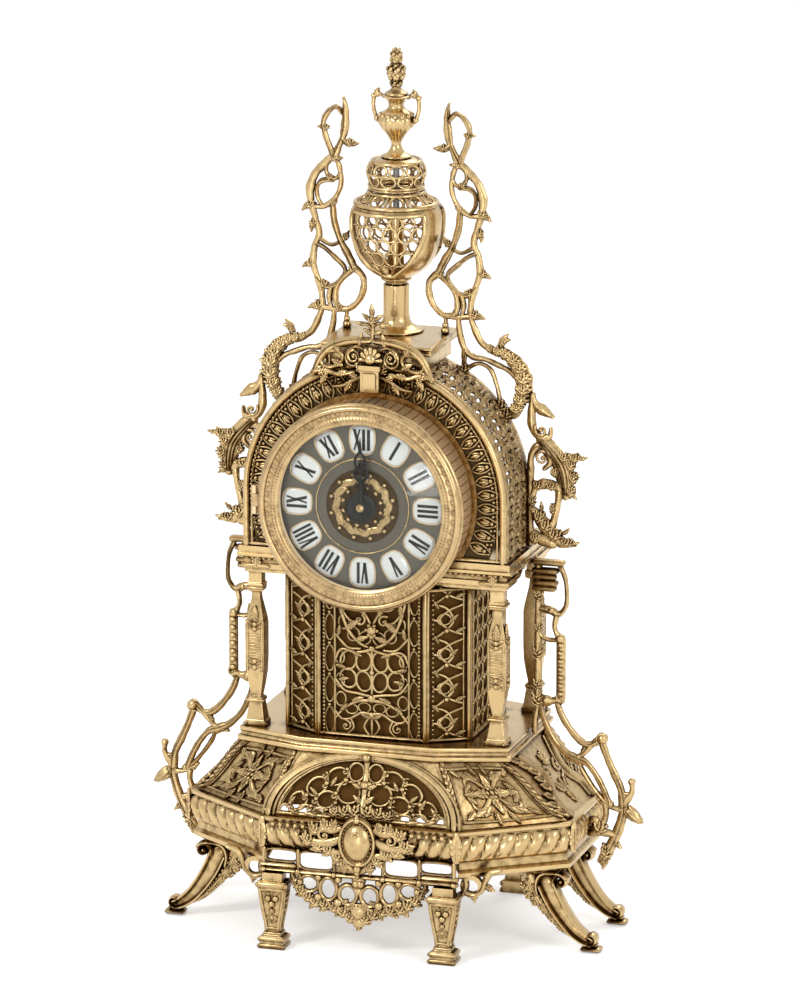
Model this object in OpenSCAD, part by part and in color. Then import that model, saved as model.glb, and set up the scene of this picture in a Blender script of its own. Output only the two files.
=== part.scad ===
// Ornate cast-brass mantel clock: a pierced lantern case on a gadrooned base
// with eight feet, an arched head that carries a round clock in a drum, and an
// urn on top. Front faces -Y, floor at z = 0, origin under the middle.

/* [Base] */
// Width of the rim over its side faces
rim_w = 255; // [225:1:285]
// Depth of the rim over its front and rear faces
rim_d = 160; // [152:1:176]
// Width of the rim's flat front
rim_front_w = 128; // [118:1:136]
// Depth of the rim's flat side
rim_side_d = 70; // [62:1:78]
// Height of the underside of the rim over the floor
stand_h = 66; // [62:1:74]
// Height of the gadrooned rim
rim_h = 20; // [16:1:24]
// How far the gadroons swell out
gadroon_bulge = 3; // [1.5:0.5:4]
// Width of the rim's casting from outside to inside
rim_land = 10; // [8:1:12]
// Depth of the plain moulding under the rim
frame_drop = 12; // [10:1:14]
// Height of the sloping plinth over the rim
plinth_rise = 39; // [34:1:46]
// Wall of the plinth shell
plinth_wall = 3; // [2:0.5:4]
// Half width of the arched grille in the plinth
lunette_w = 57; // [46:1:57]
// Height of the arched grille along the slope
lunette_h = 40; // [32:1:41]
// Thickness of the deck on top of the plinth
deck_h = 10; // [8:1:13]

/* [Feet] */
// Distance of the straight feet from the middle
bracket_foot_x = 56.5; // [50:0.5:57]
// Height of the straight feet
bracket_foot_h = 50; // [46:1:54]
// Width of the straight foot's pad
foot_pad_w = 16; // [13:1:18]
// Distance of the curled feet's inner end from the middle
scroll_foot_x = 110; // [104:1:112]
// Distance of the curled feet from the middle line, front to rear
scroll_foot_y = 31; // [28:1:33]
// Reach of the curled feet
scroll_foot_reach = 34; // [28:1:38]
// Thickness of the curled feet
scroll_foot_t = 9; // [7:0.5:11]
// Diameter of the foot screws
foot_screw_d = 3; // [2.5:0.5:3.5]

/* [Lantern case] */
// Distance of the columns from the middle
column_x = 80; // [77:1:82]
// Distance of the columns from the middle line, front to rear
column_y = 41; // [40:1:43]
// Height of the columns
column_h = 101.5; // [92:0.5:112]
// Width of the column shaft
column_w = 12; // [9:0.5:13]
// Half width of the front panel
panel_w = 36; // [32:1:40]
// Half width of the case over its side panels
case_w = 62; // [58:1:66]
// Depth of the front panel from the middle
panel_y = 53.5; // [51:0.5:53.5]
// Depth of the side corners from the middle
canted_y = 38.5; // [35:0.5:42]
// Thickness of the pierced panels
panel_t = 2.5; // [2:0.5:3]
// Thickness of the sheet liner behind the panels
liner_t = 0.8; // [0.6:0.1:1.2]

/* [Head] */
// Height of the entablature
entablature_h = 17.5; // [15:0.5:21]
// Height of the dial's middle over the entablature
dial_rise = 37.5; // [36:0.5:44]
// Outer radius of the arch
arch_r = 87; // [84:0.5:89]
// Width of the arch's moulded band
arch_band = 4; // [3:0.5:6]
// Thickness of the pierced arch plates
arch_t = 4; // [3:0.5:5]
// Depth of the vault from front plate to back plate
vault_d = 45; // [38:1:45]
// Wall of the vault
vault_wall = 3; // [2:0.5:4]
// Width of the roof cap
cap_w = 72; // [64:1:76]
// Height of the roof cap over the top of the arch
cap_h = 10.5; // [9:0.5:13]
// Thickness of the side castings
casting_t = 4; // [3:0.5:5]

/* [Urn] */
// Height of the stem
stem_h = 33; // [26:1:40]
// Radius of the stem
stem_r = 8.3; // [7:0.1:9]
// Greatest radius of the urn
urn_r = 29.5; // [26:0.5:32]
// Height of the urn's body
urn_h = 60; // [52:1:68]
// Radius of the urn's mouth
urn_mouth_r = 17; // [15.5:0.5:19]
// Wall of the urn and its lid
urn_wall = 2; // [1.5:0.25:2.5]
// Height of the urn's lid
lid_h = 18.5; // [16:0.5:22]
// Height of the two-handled vase
vase_h = 40; // [34:1:44]
// Height of the flower on top
flower_h = 32.5; // [26:0.5:38]
// Diameter of the tie rod that holds the urn down
tie_rod_d = 4; // [3:0.5:5]

/* [Clock] */
// How far the bezel laps past the drum
bezel_lap = 3; // [2:0.5:4.5]
// How far the bezel reaches in from the drum's outside
bezel_inset = 11; // [10.5:0.25:12]
// Outer radius of the drum
drum_r = 64.5; // [63.5:0.5:65]
// Wall of the drum
drum_wall = 2; // [1.5:0.25:2.5]
// Depth of the drum in front of the arch
drum_d = 25; // [24:0.5:28]
// Thickness of the dial
dial_t = 0.8; // [0.6:0.1:1]
// Height of one hour plaque along the dial's radius
plaque_h = 17; // [14:0.5:17]
// Width of one hour plaque
plaque_w = 15; // [12:0.5:16]
// Radius of the middle of the hour plaques
plaque_r = 43; // [42:0.5:44]
// Length of the minute hand
minute_l = 45; // [38:1:48]
// Length of the hour hand
hour_l = 30; // [24:1:34]
// Height of the domed glass
glass_dome = 5.5; // [5:0.5:8]
// Thickness of the glass
glass_t = 1; // [0.8:0.1:1.2]
// Diameter of the bezel's hinge pin
hinge_pin_d = 1.8; // [1.5:0.1:2]
// Width of the square battery movement
movement_w = 56; // [56:0.5:60]
// Module of the minute gears
gear_m = 0.4; // [0.38:0.01:0.41]

/* [Hidden] */
$fn = 48;

fit = 0.15;        // gap between seated castings
run = 0.05;        // radial clearance of a running fit
seat = 0.02;       // gap between flat faces that stand on each other
brass = "#c9a566";
dark = "#503e28";

// heights of the main levels
rim_z = stand_h;
ledge_z = rim_z + rim_h;
slope_z = ledge_z + plinth_rise;
deck_z = slope_z + deck_h;
column_z = deck_z + column_h;
entab_z = column_z + entablature_h;
dial_z = entab_z + dial_rise;
crown_z = dial_z + arch_r;
cap_z = crown_z + cap_h;
urn_z = cap_z + stem_h;
lid_z = urn_z + urn_h;
vase_z = lid_z + lid_h;
flower_z = vase_z + vase_h;

bezel_r = drum_r + bezel_lap;
opening_r = drum_r - bezel_inset;
crown_foot_gap = 25.5;   // how far the side ornaments stay under the top of the arch
acroterion_h = dial_rise + arch_r - crown_foot_gap;

// depths of the clock's layers, front is negative
arch_y = -(column_y + 8);
drum_front = arch_y - drum_d;
bezel_back = drum_front - 0.3;
bezel_d = 6;
dial_y = drum_front + 3;
wall_y = arch_y - 5;
sleeve_r = 4;

// plans, anticlockwise from the front left corner
rim_plan = octagon(rim_front_w / 2, rim_d / 2, rim_w / 2, rim_side_d / 2);
deck_plan = octagon(rim_front_w / 2 - 20, rim_d / 2 - 18.5, column_x + 8, column_y + 7);
case_plan = octagon(panel_w, panel_y, case_w, canted_y);
slope_inset = 4;

// ---- geometry helpers ----

function octagon(fx, fy, sx, sy) =
    [[-fx, -fy], [fx, -fy], [sx, -sy], [sx, sy], [fx, fy], [-fx, fy], [-sx, sy], [-sx, -sy]];

function unit(v) = v / norm(v);
function outward(u) = [u.y, -u.x];

// outline moved out by d, with sharp corners
function grow(p, d) = let (n = len(p)) [for (i = [0:n - 1])
    let (a = outward(unit(p[i] - p[(i + n - 1) % n])), b = outward(unit(p[(i + 1) % n] - p[i])))
    p[i] + d * (a + b) / (1 + a * b)];

function mix(p, q, t) = [for (i = [0:len(p) - 1]) p[i] * (1 - t) + q[i] * t];
function rectangle(w, d) = [[-w / 2, -d / 2], [w / 2, -d / 2], [w / 2, d / 2], [-w / 2, d / 2]];
function oval(w, h, n = 28) = [for (i = [0:n - 1]) [w / 2 * cos(i * 360 / n), h / 2 * sin(i * 360 / n)]];

// two triangles for each side between ring j and ring k
function walls(n, j, k) = [for (i = [0:n - 1]) let (i2 = (i + 1) % n)
    each [[j * n + i, k * n + i, k * n + i2], [j * n + i, k * n + i2, j * n + i2]]];

// solid through a stack of outlines, each given as [outline, z]
module loft(rings) {
    n = len(rings[0][0]);
    m = len(rings);
    polyhedron(
        points = [for (r = rings) for (p = r[0]) [p.x, p.y, r[1]]],
        faces = concat([[for (i = [0:n - 1]) i]],
            [for (j = [0:m - 2]) each walls(n, j, j + 1)],
            [[for (i = [n - 1:-1:0]) (m - 1) * n + i]]));
}

// closed ring through outlines that go up the outside and down the inside
module hollow_ring(rings) {
    n = len(rings[0][0]);
    m = len(rings);
    polyhedron(
        points = [for (r = rings) for (p = r[0]) [p.x, p.y, r[1]]],
        faces = [for (j = [0:m - 1]) each walls(n, j, (j + 1) % m)]);
}

// moulding run round a plan; each profile point is [outward offset, z]
module moulding(plan, profile) {
    hollow_ring([for (q = profile) [grow(plan, q[0]), q[1]]]);
}

// smooth curve through points, each [x, y, width]
function spline(a, b, c, d, t) = 0.5 * (2 * b + (c - a) * t + (2 * a - 5 * b + 4 * c - d) * t * t
    + (3 * b - a - 3 * c + d) * t * t * t);
function curve(p, k) = let (n = len(p)) concat(
    [for (i = [0:n - 2]) for (s = [0:k - 1])
        spline(p[max(i - 1, 0)], p[i], p[i + 1], p[min(i + 2, n - 1)], s / k)], [p[n - 1]]);

// tapering cast scroll along a smooth curve
module scroll(p, k = 2) {
    c = curve(p, k);
    n = len(c);
    edge = [for (i = [0:n - 1]) let (t = c[min(i + 1, n - 1)] - c[max(i - 1, 0)])
        outward(unit([t.x, t.y])) * c[i].z / 2];
    polygon(concat([for (i = [0:n - 1]) [c[i].x, c[i].y] + edge[i]],
        [for (i = [n - 1:-1:0]) [c[i].x, c[i].y] - edge[i]]));
    for (e = [c[0], c[n - 1]])
        bead([e.x, e.y], e.z / 2);
}

module scrolls(list) {
    for (p = list) scroll(p);
}

module bead(at, r) {
    translate(at) circle(r = r, $fn = 8);
}

// oval ring given by its middle, half sizes and width
module eye(at, half, w) {
    translate(at) difference() {
        polygon(oval(2 * half.x + w, 2 * half.y + w, 14));
        polygon(oval(2 * half.x - w, 2 * half.y - w, 14));
    }
}

// flat casting that stands in the X-Z plane, centred on its thickness
module casting(t) {
    rotate([90, 0, 0]) linear_extrude(t, center = true) offset(delta = 0.01) children();
}

module both_sides() {
    children();
    mirror([1, 0, 0]) children();
}

module corners(x, y) {
    for (sx = [-1, 1], sy = [-1, 1])
        translate([sx * x, sy * y, 0]) scale_side(sx) children();
}

// turns a part made for the +X side round to the -X side
module scale_side(s) {
    if (s > 0) children();
    else mirror([1, 0, 0]) children();
}

module rod(r, y1, y2, x = 0, z = 0) {
    translate([x, y2, z]) rotate([90, 0, 0]) cylinder(r = r, h = y2 - y1);
}

// ---- feet ----

// curled foot with its inner end at x = 0, leading out along +X
scroll_path = [[0, 42, 11], [5, 32, 10], [11, 22, 8.5], [18, 13, 7], [26, 7, 6], [30, 6, 5]];

module scroll_foot() {
    reach = scroll_foot_reach;
    top = rim_z - frame_drop;
    difference() {
        union() {
            casting(scroll_foot_t) {
                scroll([for (p = scroll_path) [p.x * reach / 34, p.y * top / 54, p.z]]);
                translate([9 * reach / 34, top - 8]) circle(r = 6.6, $fn = 20);
                translate([reach - 5, 7.5]) circle(r = 7.5, $fn = 20);
                translate([-8, top - 16]) square([17, 16]);
                translate([reach - 10, 0]) square([10, 7]);
            }
            translate([reach - 5, 0, 1.5]) cube([12, scroll_foot_t + 3, 3], center = true);
        }
        translate([-2, 0, top - 11]) cylinder(d = foot_screw_d, h = 12);
    }
}

module scroll_feet() {
    color(brass) corners(scroll_foot_x, scroll_foot_y) scroll_foot();
}

// sections of the straight foot: [share of its height, width, depth]
foot_sections = [[0, 1, 1], [0.16, 1, 1], [0.18, 0.75, 0.8], [0.24, 0.56, 0.64], [0.32, 0.6, 0.64],
    [0.48, 0.8, 0.72], [0.68, 1, 0.8], [0.79, 1.06, 0.86], [0.8, 1.16, 1], [0.89, 1.16, 1],
    [0.9, 0.85, 0.72], [1, 0.85, 0.72]];

module bracket_foot() {
    depth = 13;
    loft([for (s = foot_sections) [rectangle(s[1] * foot_pad_w, s[2] * depth), s[0] * bracket_foot_h]]);
}

module bracket_feet() {
    color(brass) corners(bracket_foot_x, apron_y) bracket_foot();
}

module foot_screws() {
    top = rim_z - frame_drop;
    color("#b8a27a") corners(scroll_foot_x, scroll_foot_y) translate([-2, 0, top]) {
        translate([0, 0, -9]) cylinder(d = foot_screw_d, h = 9.01 + lug_t);
        translate([0, 0, lug_t]) cylinder(d = 2 * foot_screw_d, h = 2);
    }
}

// ---- base ----

lug_t = 4;
strap_t = 2;
apron_t = 5;
apron_y = rim_d / 2 + 0.5;
bar_d = 8;

module base_frame() {
    low = rim_z - frame_drop;
    color(brass) difference() {
        union() {
            moulding(rim_plan, [[-rim_land, low], [-3.5, low], [-1.5, low + 1.5], [-1.5, low + 4],
                [-4, low + 6], [-4, rim_z - 1.5], [-2.5, rim_z], [-rim_land, rim_z]]);
            corners(scroll_foot_x, scroll_foot_y)
                translate([-8, -6, low]) cube([15, 12, lug_t]);
            corners(rim_front_w / 2 + 8, rim_d / 2 - 9) casting(4) eye([0, low - 5], [6, 6], 3);
        }
        for (s = [-1, 1])
            translate([-rim_front_w / 2 - 0.5, s * rim_d / 2 - 20, low - 1])
                cube([rim_front_w + 1, 40, frame_drop + 1 - strap_t]);
        corners(scroll_foot_x, scroll_foot_y)
            translate([-2, 0, low - 1]) cylinder(r = foot_screw_d / 2 + 0.2, h = lug_t + 2);
    }
    // bars that carry the aprons
    color(brass) for (s = [-1, 1])
        translate([-rim_front_w / 2, s * (apron_y - (apron_t + bar_d) / 2) - bar_d / 2, rim_z - strap_t])
            cube([rim_front_w, bar_d, strap_t]);
}

// pierced apron between the straight feet, right half, z from the rim's underside
module apron_half() {
    w = rim_front_w / 2;
    rail = bracket_foot_h - rim_z;
    for (x = [16.5, 40, w - 1.3])
        translate([x - 1.3, rail]) square([2.6, -rail]);
    translate([0, rail]) square([w, 3]);
    translate([bracket_foot_x - 15, rail]) square([w - bracket_foot_x + 15, 6.5]);
    scrolls([
        [[44, rail + 1, 3], [40, rail - 6, 2.6], [33, rail - 14, 2.6], [24, rail - 20, 2.4], [13, rail - 22, 3]],
        [[24, rail - 20, 2.5], [31, rail - 22, 4], [37, rail - 20, 3], [41, rail - 13, 2]],
        [[14, rail - 21, 2.5], [8, rail - 26, 3.5], [0, rail - 31, 4]]]);
    eye([32, rail - 6], [6, 5.5], 2.2);
    eye([19.5, rail - 8.5], [5.5, 8], 2.2);
    eye([6.5, rail - 15], [5, 5.5], 2.2);
    translate([0, rail - 10]) square([8, 13]);
}

module apron(side) {
    color(brass) translate([0, side * apron_y, rim_z - 0.02]) casting(apron_t) {
        apron_half();
        mirror([1, 0]) apron_half();
    }
}

module front_apron() apron(-1);
module rear_apron() apron(1);

module gadroon_rim() {
    b = gadroon_bulge;
    top = ledge_z;
    color(brass) moulding(rim_plan, [[-rim_land, rim_z], [-2, rim_z], [b * 0.2, rim_z + rim_h * 0.13],
        [b * 0.85, rim_z + rim_h * 0.32], [b, rim_z + rim_h * 0.52], [b * 0.7, rim_z + rim_h * 0.72],
        [0, top - 2.6], [0.8, top - 2], [0.8, top], [-rim_land, top]]);
}

// oval shield in the middle of the rim, standing out of it
module cartouche(side) {
    back = rim_d / 2 + gadroon_bulge + fit;
    steps = [[1, 0], [1, 2.5], [0.9, 4.5], [0.78, 4.5], [0.72, 5.5], [0.45, 8], [0.2, 9]];
    color(brass) translate([0, side * back, rim_z + rim_h / 2 - 1]) rotate([side > 0 ? -90 : 90, 0, 0])
        loft([for (s = steps) [oval(25 * s[0], 33 * s[0]), s[1]]]);
}

module front_cartouche() cartouche(-1);
module rear_cartouche() cartouche(1);

// outline of the sloping plinth at a share t of its height
function slope_plan(t) = mix(grow(rim_plan, -slope_inset), deck_plan, t + 0.03 * sin(360 * t));

slope_y = rim_d / 2 - slope_inset;
slope_angle = atan((slope_y - deck_plan[4].y) / plinth_rise);

// half oval of the lunette, in the plane of the slope
module lunette_shape(extra) {
    n = 20;
    polygon([for (i = [0:n]) [(lunette_w + extra) * cos(i * 180 / n), (lunette_h + extra) * sin(i * 180 / n)]]);
}

// lays a flat pattern on the sloping front or rear face
module on_slope(side, t) {
    rotate([0, 0, side > 0 ? 180 : 0]) translate([0, -slope_y, ledge_z])
        rotate([90 - slope_angle, 0, 0]) translate([0, 0, -plinth_wall]) linear_extrude(t) children();
}

module plinth_shell() {
    levels = [0, 0.25, 0.5, 0.75, 1];
    color(brass) difference() {
        hollow_ring(concat(
            [for (t = levels) [slope_plan(t), ledge_z + t * plinth_rise]],
            [for (t = [1, 0.5, 0]) [grow(slope_plan(t), -plinth_wall), ledge_z + t * plinth_rise]]));
        for (side = [-1, 1])
            on_slope(side, 3 * plinth_wall) translate([0, 1]) lunette_shape(0);
    }
}

// fish-scale scrolls and curls of the arched grille, right half
module lunette_half() {
    w = lunette_w;
    h = lunette_h;
    for (a = [12, 36, 60])
        eye([w * 0.76 * cos(a), h * 0.76 * sin(a)], [6.5, 5], 1.8);
    for (a = [0, 30])
        eye([w * 0.47 * cos(a), 5 + h * 0.45 * sin(a)], [6, 4.5], 1.8);
    scrolls([
        [[3, 3, 2], [12, 7, 2], [22, 14, 1.8], [26, 24, 1.6], [20, 33, 1.4]],
        [[0, 16, 2], [7, 24, 2], [10, 32, 2], [13, 39, 2.4]],
        [[24, 1.5, 2], [36, 7, 2], [46, 5, 2.4], [54, 2, 1.6]]]);
}

module lunette(side) {
    color(brass) on_slope(side, plinth_wall + 1.5) offset(delta = 0.01) intersection() {
        translate([0, 1]) lunette_shape(-fit);
        union() {
            difference() {
                translate([0, 1]) lunette_shape(-fit);
                translate([0, 3]) lunette_shape(-5);
            }
            lunette_half();
            mirror([1, 0]) lunette_half();
            translate([0, 0.5 * lunette_h]) eye([0, lunette_h * 0.25], [5, 8], 2);
        }
    }
}

module front_lunette() lunette(-1);
module rear_lunette() lunette(1);

module plinth_deck() {
    z = slope_z;
    h = deck_h;
    color(brass) difference() {
        loft([for (s = [[0, 0], [2.5, 0.12], [3, 0.4], [0.8, 0.5], [0.8, 0.68], [1.5, 0.74], [1.5, 1]])
            [grow(deck_plan, s[0]), z + s[1] * h]]);
        translate([0, 0, z - 1]) linear_extrude(h - 3) polygon(grow(deck_plan, -6));
    }
}

// ---- lantern case ----

// sections of the square column: [share of its height, share of its width]
column_sections = [[0, 1.15], [0.03, 1.15], [0.035, 1], [0.15, 0.72], [0.16, 0.85], [0.175, 0.85], [0.19, 0.55],
    [0.26, 0.75], [0.35, 0.95], [0.45, 1], [0.66, 1], [0.7, 0.9], [0.82, 0.5], [0.86, 0.45], [0.875, 0.85],
    [0.92, 0.9], [0.925, 0.75], [1, 0.75]];

module columns() {
    color(brass) corners(column_x, column_y) translate([0, 0, deck_z])
        loft([for (s = column_sections)
            [rectangle(s[1] * column_w, s[1] * (column_w - 1)), s[0] * column_h]]);
}

// border of a pierced panel, with its foot at z = 0
module border(w, w2, h, t) {
    translate([w, 0]) difference() {
        square([w2 - w, h]);
        translate([t, t]) square([w2 - w - 2 * t, h - 2 * t]);
    }
}

// a panel's pattern, cut off at its edges
module trimmed(w, w2, h) {
    intersection() {
        translate([w, 0]) square([w2 - w, h]);
        union() children();
    }
}

// ovals, garland and swag of the front grille, right half
module front_pattern_half() {
    w = panel_w;
    h = column_h;
    rail = w * 0.66;
    translate([rail - 0.8, 0]) square([1.6, h]);
    for (k = [0:4])
        eye([(w + rail) / 2 - 0.5, h * (0.13 + 0.19 * k)], [w * 0.12, h * 0.075], 1.5);
    for (s = [0, 1])
        for (x = [0.15, 0.43])
            eye([w * x, h * (0.34 + 0.135 * s)], [w * 0.13, h * 0.055], 1.5);
    eye([w * 0.2, h * 0.74], [w * 0.12, h * 0.08], 1.5);
    scrolls([
        [[0, h * 0.53, 2.4], [rail * 0.5, h * 0.56, 2], [rail, h * 0.7, 2]],
        [[0, h * 0.26, 2.6], [rail * 0.6, h * 0.22, 2.4], [rail, h * 0.13, 2]],
        [[0, h * 0.2, 2], [rail * 0.45, h * 0.17, 2], [rail * 0.7, h * 0.1, 2]],
        [[0, h * 0.06, 2], [rail * 0.4, h * 0.12, 1.8], [rail * 0.45, 1, 1.8]],
        [[rail * 0.4, h * 0.72, 2], [rail * 0.75, h * 0.82, 1.8], [rail, h * 0.97, 1.6]],
        [[0, h * 0.64, 2], [rail * 0.15, h * 0.8, 1.6], [0, h * 0.98, 1.6]]]);
    translate([-0.9, 0]) square([1.8, h * 0.55]);
    bead([0, h * 0.27], 3.2);
    bead([0, h * 0.62], 3);
}

// crossing scrolls of a canted grille that is w wide
module canted_pattern(w) {
    h = column_h;
    step = h / 5;
    for (k = [0:4]) {
        z = k * step;
        scrolls([
            [[1, z, 1.5], [w * 0.55, z + step * 0.25, 1.6], [w * 0.75, z + step * 0.6, 1.6], [1.5, z + step, 1.6]],
            [[w - 1, z, 1.5], [w * 0.4, z + step * 0.35, 1.6], [w * 0.3, z + step * 0.7, 1.6], [w - 1.5, z + step, 1.6]]]);
    }
}

// rows of rings of a side grille, between x = -w and x = w
module side_pattern(w) {
    rows = 7;
    step = column_h / rows;
    pitch = w / 3;
    for (k = [0:rows - 1])
        for (i = [-2.5:2.5])
            eye([i * pitch, (k + 0.5) * step], [pitch / 2, step / 2], 1.6);
}

canted_l = norm([case_w - panel_w, panel_y - canted_y]);
canted_a = atan((panel_y - canted_y) / (case_w - panel_w));

module case_bay() {
    h = column_h - 2 * seat;
    t = panel_t;
    translate([0, -panel_y + t / 2, deck_z + seat]) casting(t) trimmed(-panel_w, panel_w, h) {
        border(-panel_w, panel_w, h, 2.4);
        front_pattern_half();
        mirror([1, 0]) front_pattern_half();
    }
    both_sides() translate([panel_w, -panel_y, deck_z + seat]) rotate([0, 0, canted_a])
        translate([0, t / 2, 0]) casting(t) trimmed(0, canted_l, h) {
            border(0, canted_l, h, 2);
            canted_pattern(canted_l);
        }
    both_sides() for (p = [[panel_w, panel_y - 1.2], [case_w - 1.6, canted_y - 0.3]])
        translate([p.x, -p.y, deck_z + seat]) rotate([0, 0, canted_a / 2])
            translate([-1.8, -1.3, 0]) cube([3.6, 2.8, h]);
    translate([0, 0, column_z - 2]) linear_extrude(2 - seat)
        polygon([[-panel_w, -panel_y + 0.1], [panel_w, -panel_y + 0.1],
            [case_w - 6, -column_y - 1], [6 - case_w, -column_y - 1]]);
}

module case_front() color(brass) case_bay();
module case_rear() color(brass) rotate([0, 0, 180]) case_bay();

module case_side(side) {
    w = canted_y - 2.5;
    color(brass) translate([side * (case_w - panel_t / 2), 0, deck_z + seat]) rotate([0, 0, 90])
        casting(panel_t) trimmed(-w, w, column_h - 2 * seat) {
            border(-w, w, column_h - 2 * seat, 2.2);
            side_pattern(w - 0.5);
        }
}

module case_left() case_side(-1);
module case_right() case_side(1);

module case_liner() {
    outer = panel_t + 1.6;
    color(dark) translate([0, 0, deck_z]) linear_extrude(column_h - 2.2) difference() {
        polygon(grow(case_plan, -outer));
        polygon(grow(case_plan, -outer - liner_t));
    }
}

// ---- side castings, drawn for the right side ----

edge_x = column_x + 9.5 + 1.2;   // where they stand against deck and cornice

// side bracket: x from edge_x, z from the deck up, and down past the deck's edge
module bracket_shape() {
    t = column_z - deck_z;
    drop = deck_z - rim_z;
    x0 = rim_w / 2 + gadroon_bulge - edge_x;
    scrolls([
        [[3.5, t + 8, 3.6], [3.5, t * 0.6, 3.6], [3.5, 18, 3.6]],
        [[18, t + 6, 3], [21.5, t - 2, 2.6], [22.5, t - 15, 2.6], [19, t - 24, 2.8], [12, t - 23, 3], [5, t - 22, 2.4]],
        [[16, t - 25, 2.4], [14.5, t - 33, 2.2], [15, t - 38, 2.2], [10, t - 42, 2.2], [5, t - 42, 2]],
        [[14.5, t - 36, 2.4], [19.5, t - 41, 3], [18.5, t - 48, 5.5], [18, t - 60, 5], [18.5, t - 75, 5.5], [19, t - 80, 4]],
        [[4, t - 81, 3.4], [11, t - 83, 3], [18, t - 81, 3.6]],
        [[16, 19, 3], [20, 9, 3.4], [27, -1, 3.5], [35, -8, 3.5], [42, -7, 3.4], [46, -4, 3.6]],
        [[46, -5, 3.4], [50, -16, 3.6], [55, -27, 3.8], [60, -37, 3.8], [60.5, -47, 3.6], [59, -57, 3.4],
            [55, -66, 3.4], [50, -76, 3.6], [45, -84, 3]],
        [[5, 18, 3.4], [8, 6, 3.4], [14, -7, 3.4], [22, -14, 3.4], [31, -17, 4], [38, -20, 3.4], [44, -28, 3.4],
            [49, -37, 3.4], [51, -46, 3.6]],
        [[31, -17, 3], [33, -24, 2.4], [38, -32, 2.4], [45, -41, 2.4], [50, -46, 2.4]],
        [[49, -48, 4.5], [47, -57, 3.4], [x0 + 4, 12 - drop, 3.4], [x0, 10 - drop, 3.6]],
        [[49, -47, 2.2], [60, -48, 2.4], [70, -49, 3.5], [75, -53, 2]],
        [[66, -30, 2.6], [66, -38, 2.6], [61, -43, 3]],
        [[55, -66, 2.6], [47, 4 - drop, 3], [x0 - 3.5, 1 - drop, 3.2]],
        [[4, 17, 3], [2, 7, 3], [1.6, -2, 3]]]);
    translate([5, t - 9]) square([12.5, 16]);
    translate([1.2, t + entablature_h - 9]) square([17, 4]);
    for (b = [[46, -4, 4.2], [29, -12, 3], [8, t - 23, 3], [72, -50, 3.6], [53, -46, 3], [8, t - 83, 3]])
        bead([b.x, b.y], b.z);
}

module side_casting(side) {
    color(brass) scale_side(side) casting(casting_t) children();
}

module bracket(side) {
    side_casting(side) difference() {
        translate([edge_x, deck_z]) bracket_shape();
        square([edge_x - 0.4 + fit, column_z + entablature_h]);
        square([rim_w / 2 - 1.5 + fit, rim_z]);
        translate([0, rim_z - 1]) square([rim_w / 2 + gadroon_bulge + fit, rim_h + 1.1]);
    }
}

module bracket_left() bracket(-1);
module bracket_right() bracket(1);

// leafy side ornament: x from the arch's side, z from the entablature's top
module acroterion_shape() {
    k = acroterion_h / 99;
    lists = [
        [[1.5, 0, 3], [1.5, 25, 3], [1.5, 50, 3]],
        [[2, 99, 1.6], [6, 92, 4], [13, 88, 4.6], [9, 84, 2.4], [6, 82, 1.8]],
        [[2, 97, 2.6], [1.5, 85, 3], [3, 76, 3.4], [9, 71, 3.6], [15, 72, 3], [13, 77, 2]],
        [[1.5, 50, 3], [2, 59, 3], [6, 65, 3.2], [12, 64, 3.6], [15, 56, 3.2], [10, 52, 2]],
        [[9, 70, 5], [18, 62, 7], [24, 53, 7.5], [26, 43, 6], [25, 36, 4.5]],
        [[24, 57, 4], [31, 59.5, 3], [36, 59.5, 1.4]],
        [[1.5, 33, 3], [4, 39, 3.2], [11, 42, 4], [18, 41, 4.4], [23, 38, 4]],
        [[20, 38, 3.6], [18, 26, 3], [15.5, 14, 3]],
        [[2, 25, 4], [8, 19, 5.6], [14, 12, 6], [20, 6, 5], [26, 3.5, 3.4], [31.5, 2.5, 1.4]],
        [[1.5, 9, 4], [8, 6, 5], [16, 4, 4.6]]];
    scrolls([for (list = lists) [for (p = list) [p.x, p.y * k, p.z]]]);
    translate([0.2, 0]) square([9, 4]);
}

module acroterion(side) {
    side_casting(side) difference() {
        translate([arch_r, entab_z]) acroterion_shape();
        square([arch_r + fit, crown_z]);
        square([column_x + 60, entab_z]);
    }
}

module acroterion_left() acroterion(-1);
module acroterion_right() acroterion(1);

function on_arch(a) = [arch_r * cos(a), -arch_r + arch_r * sin(a) - cap_h];

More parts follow.
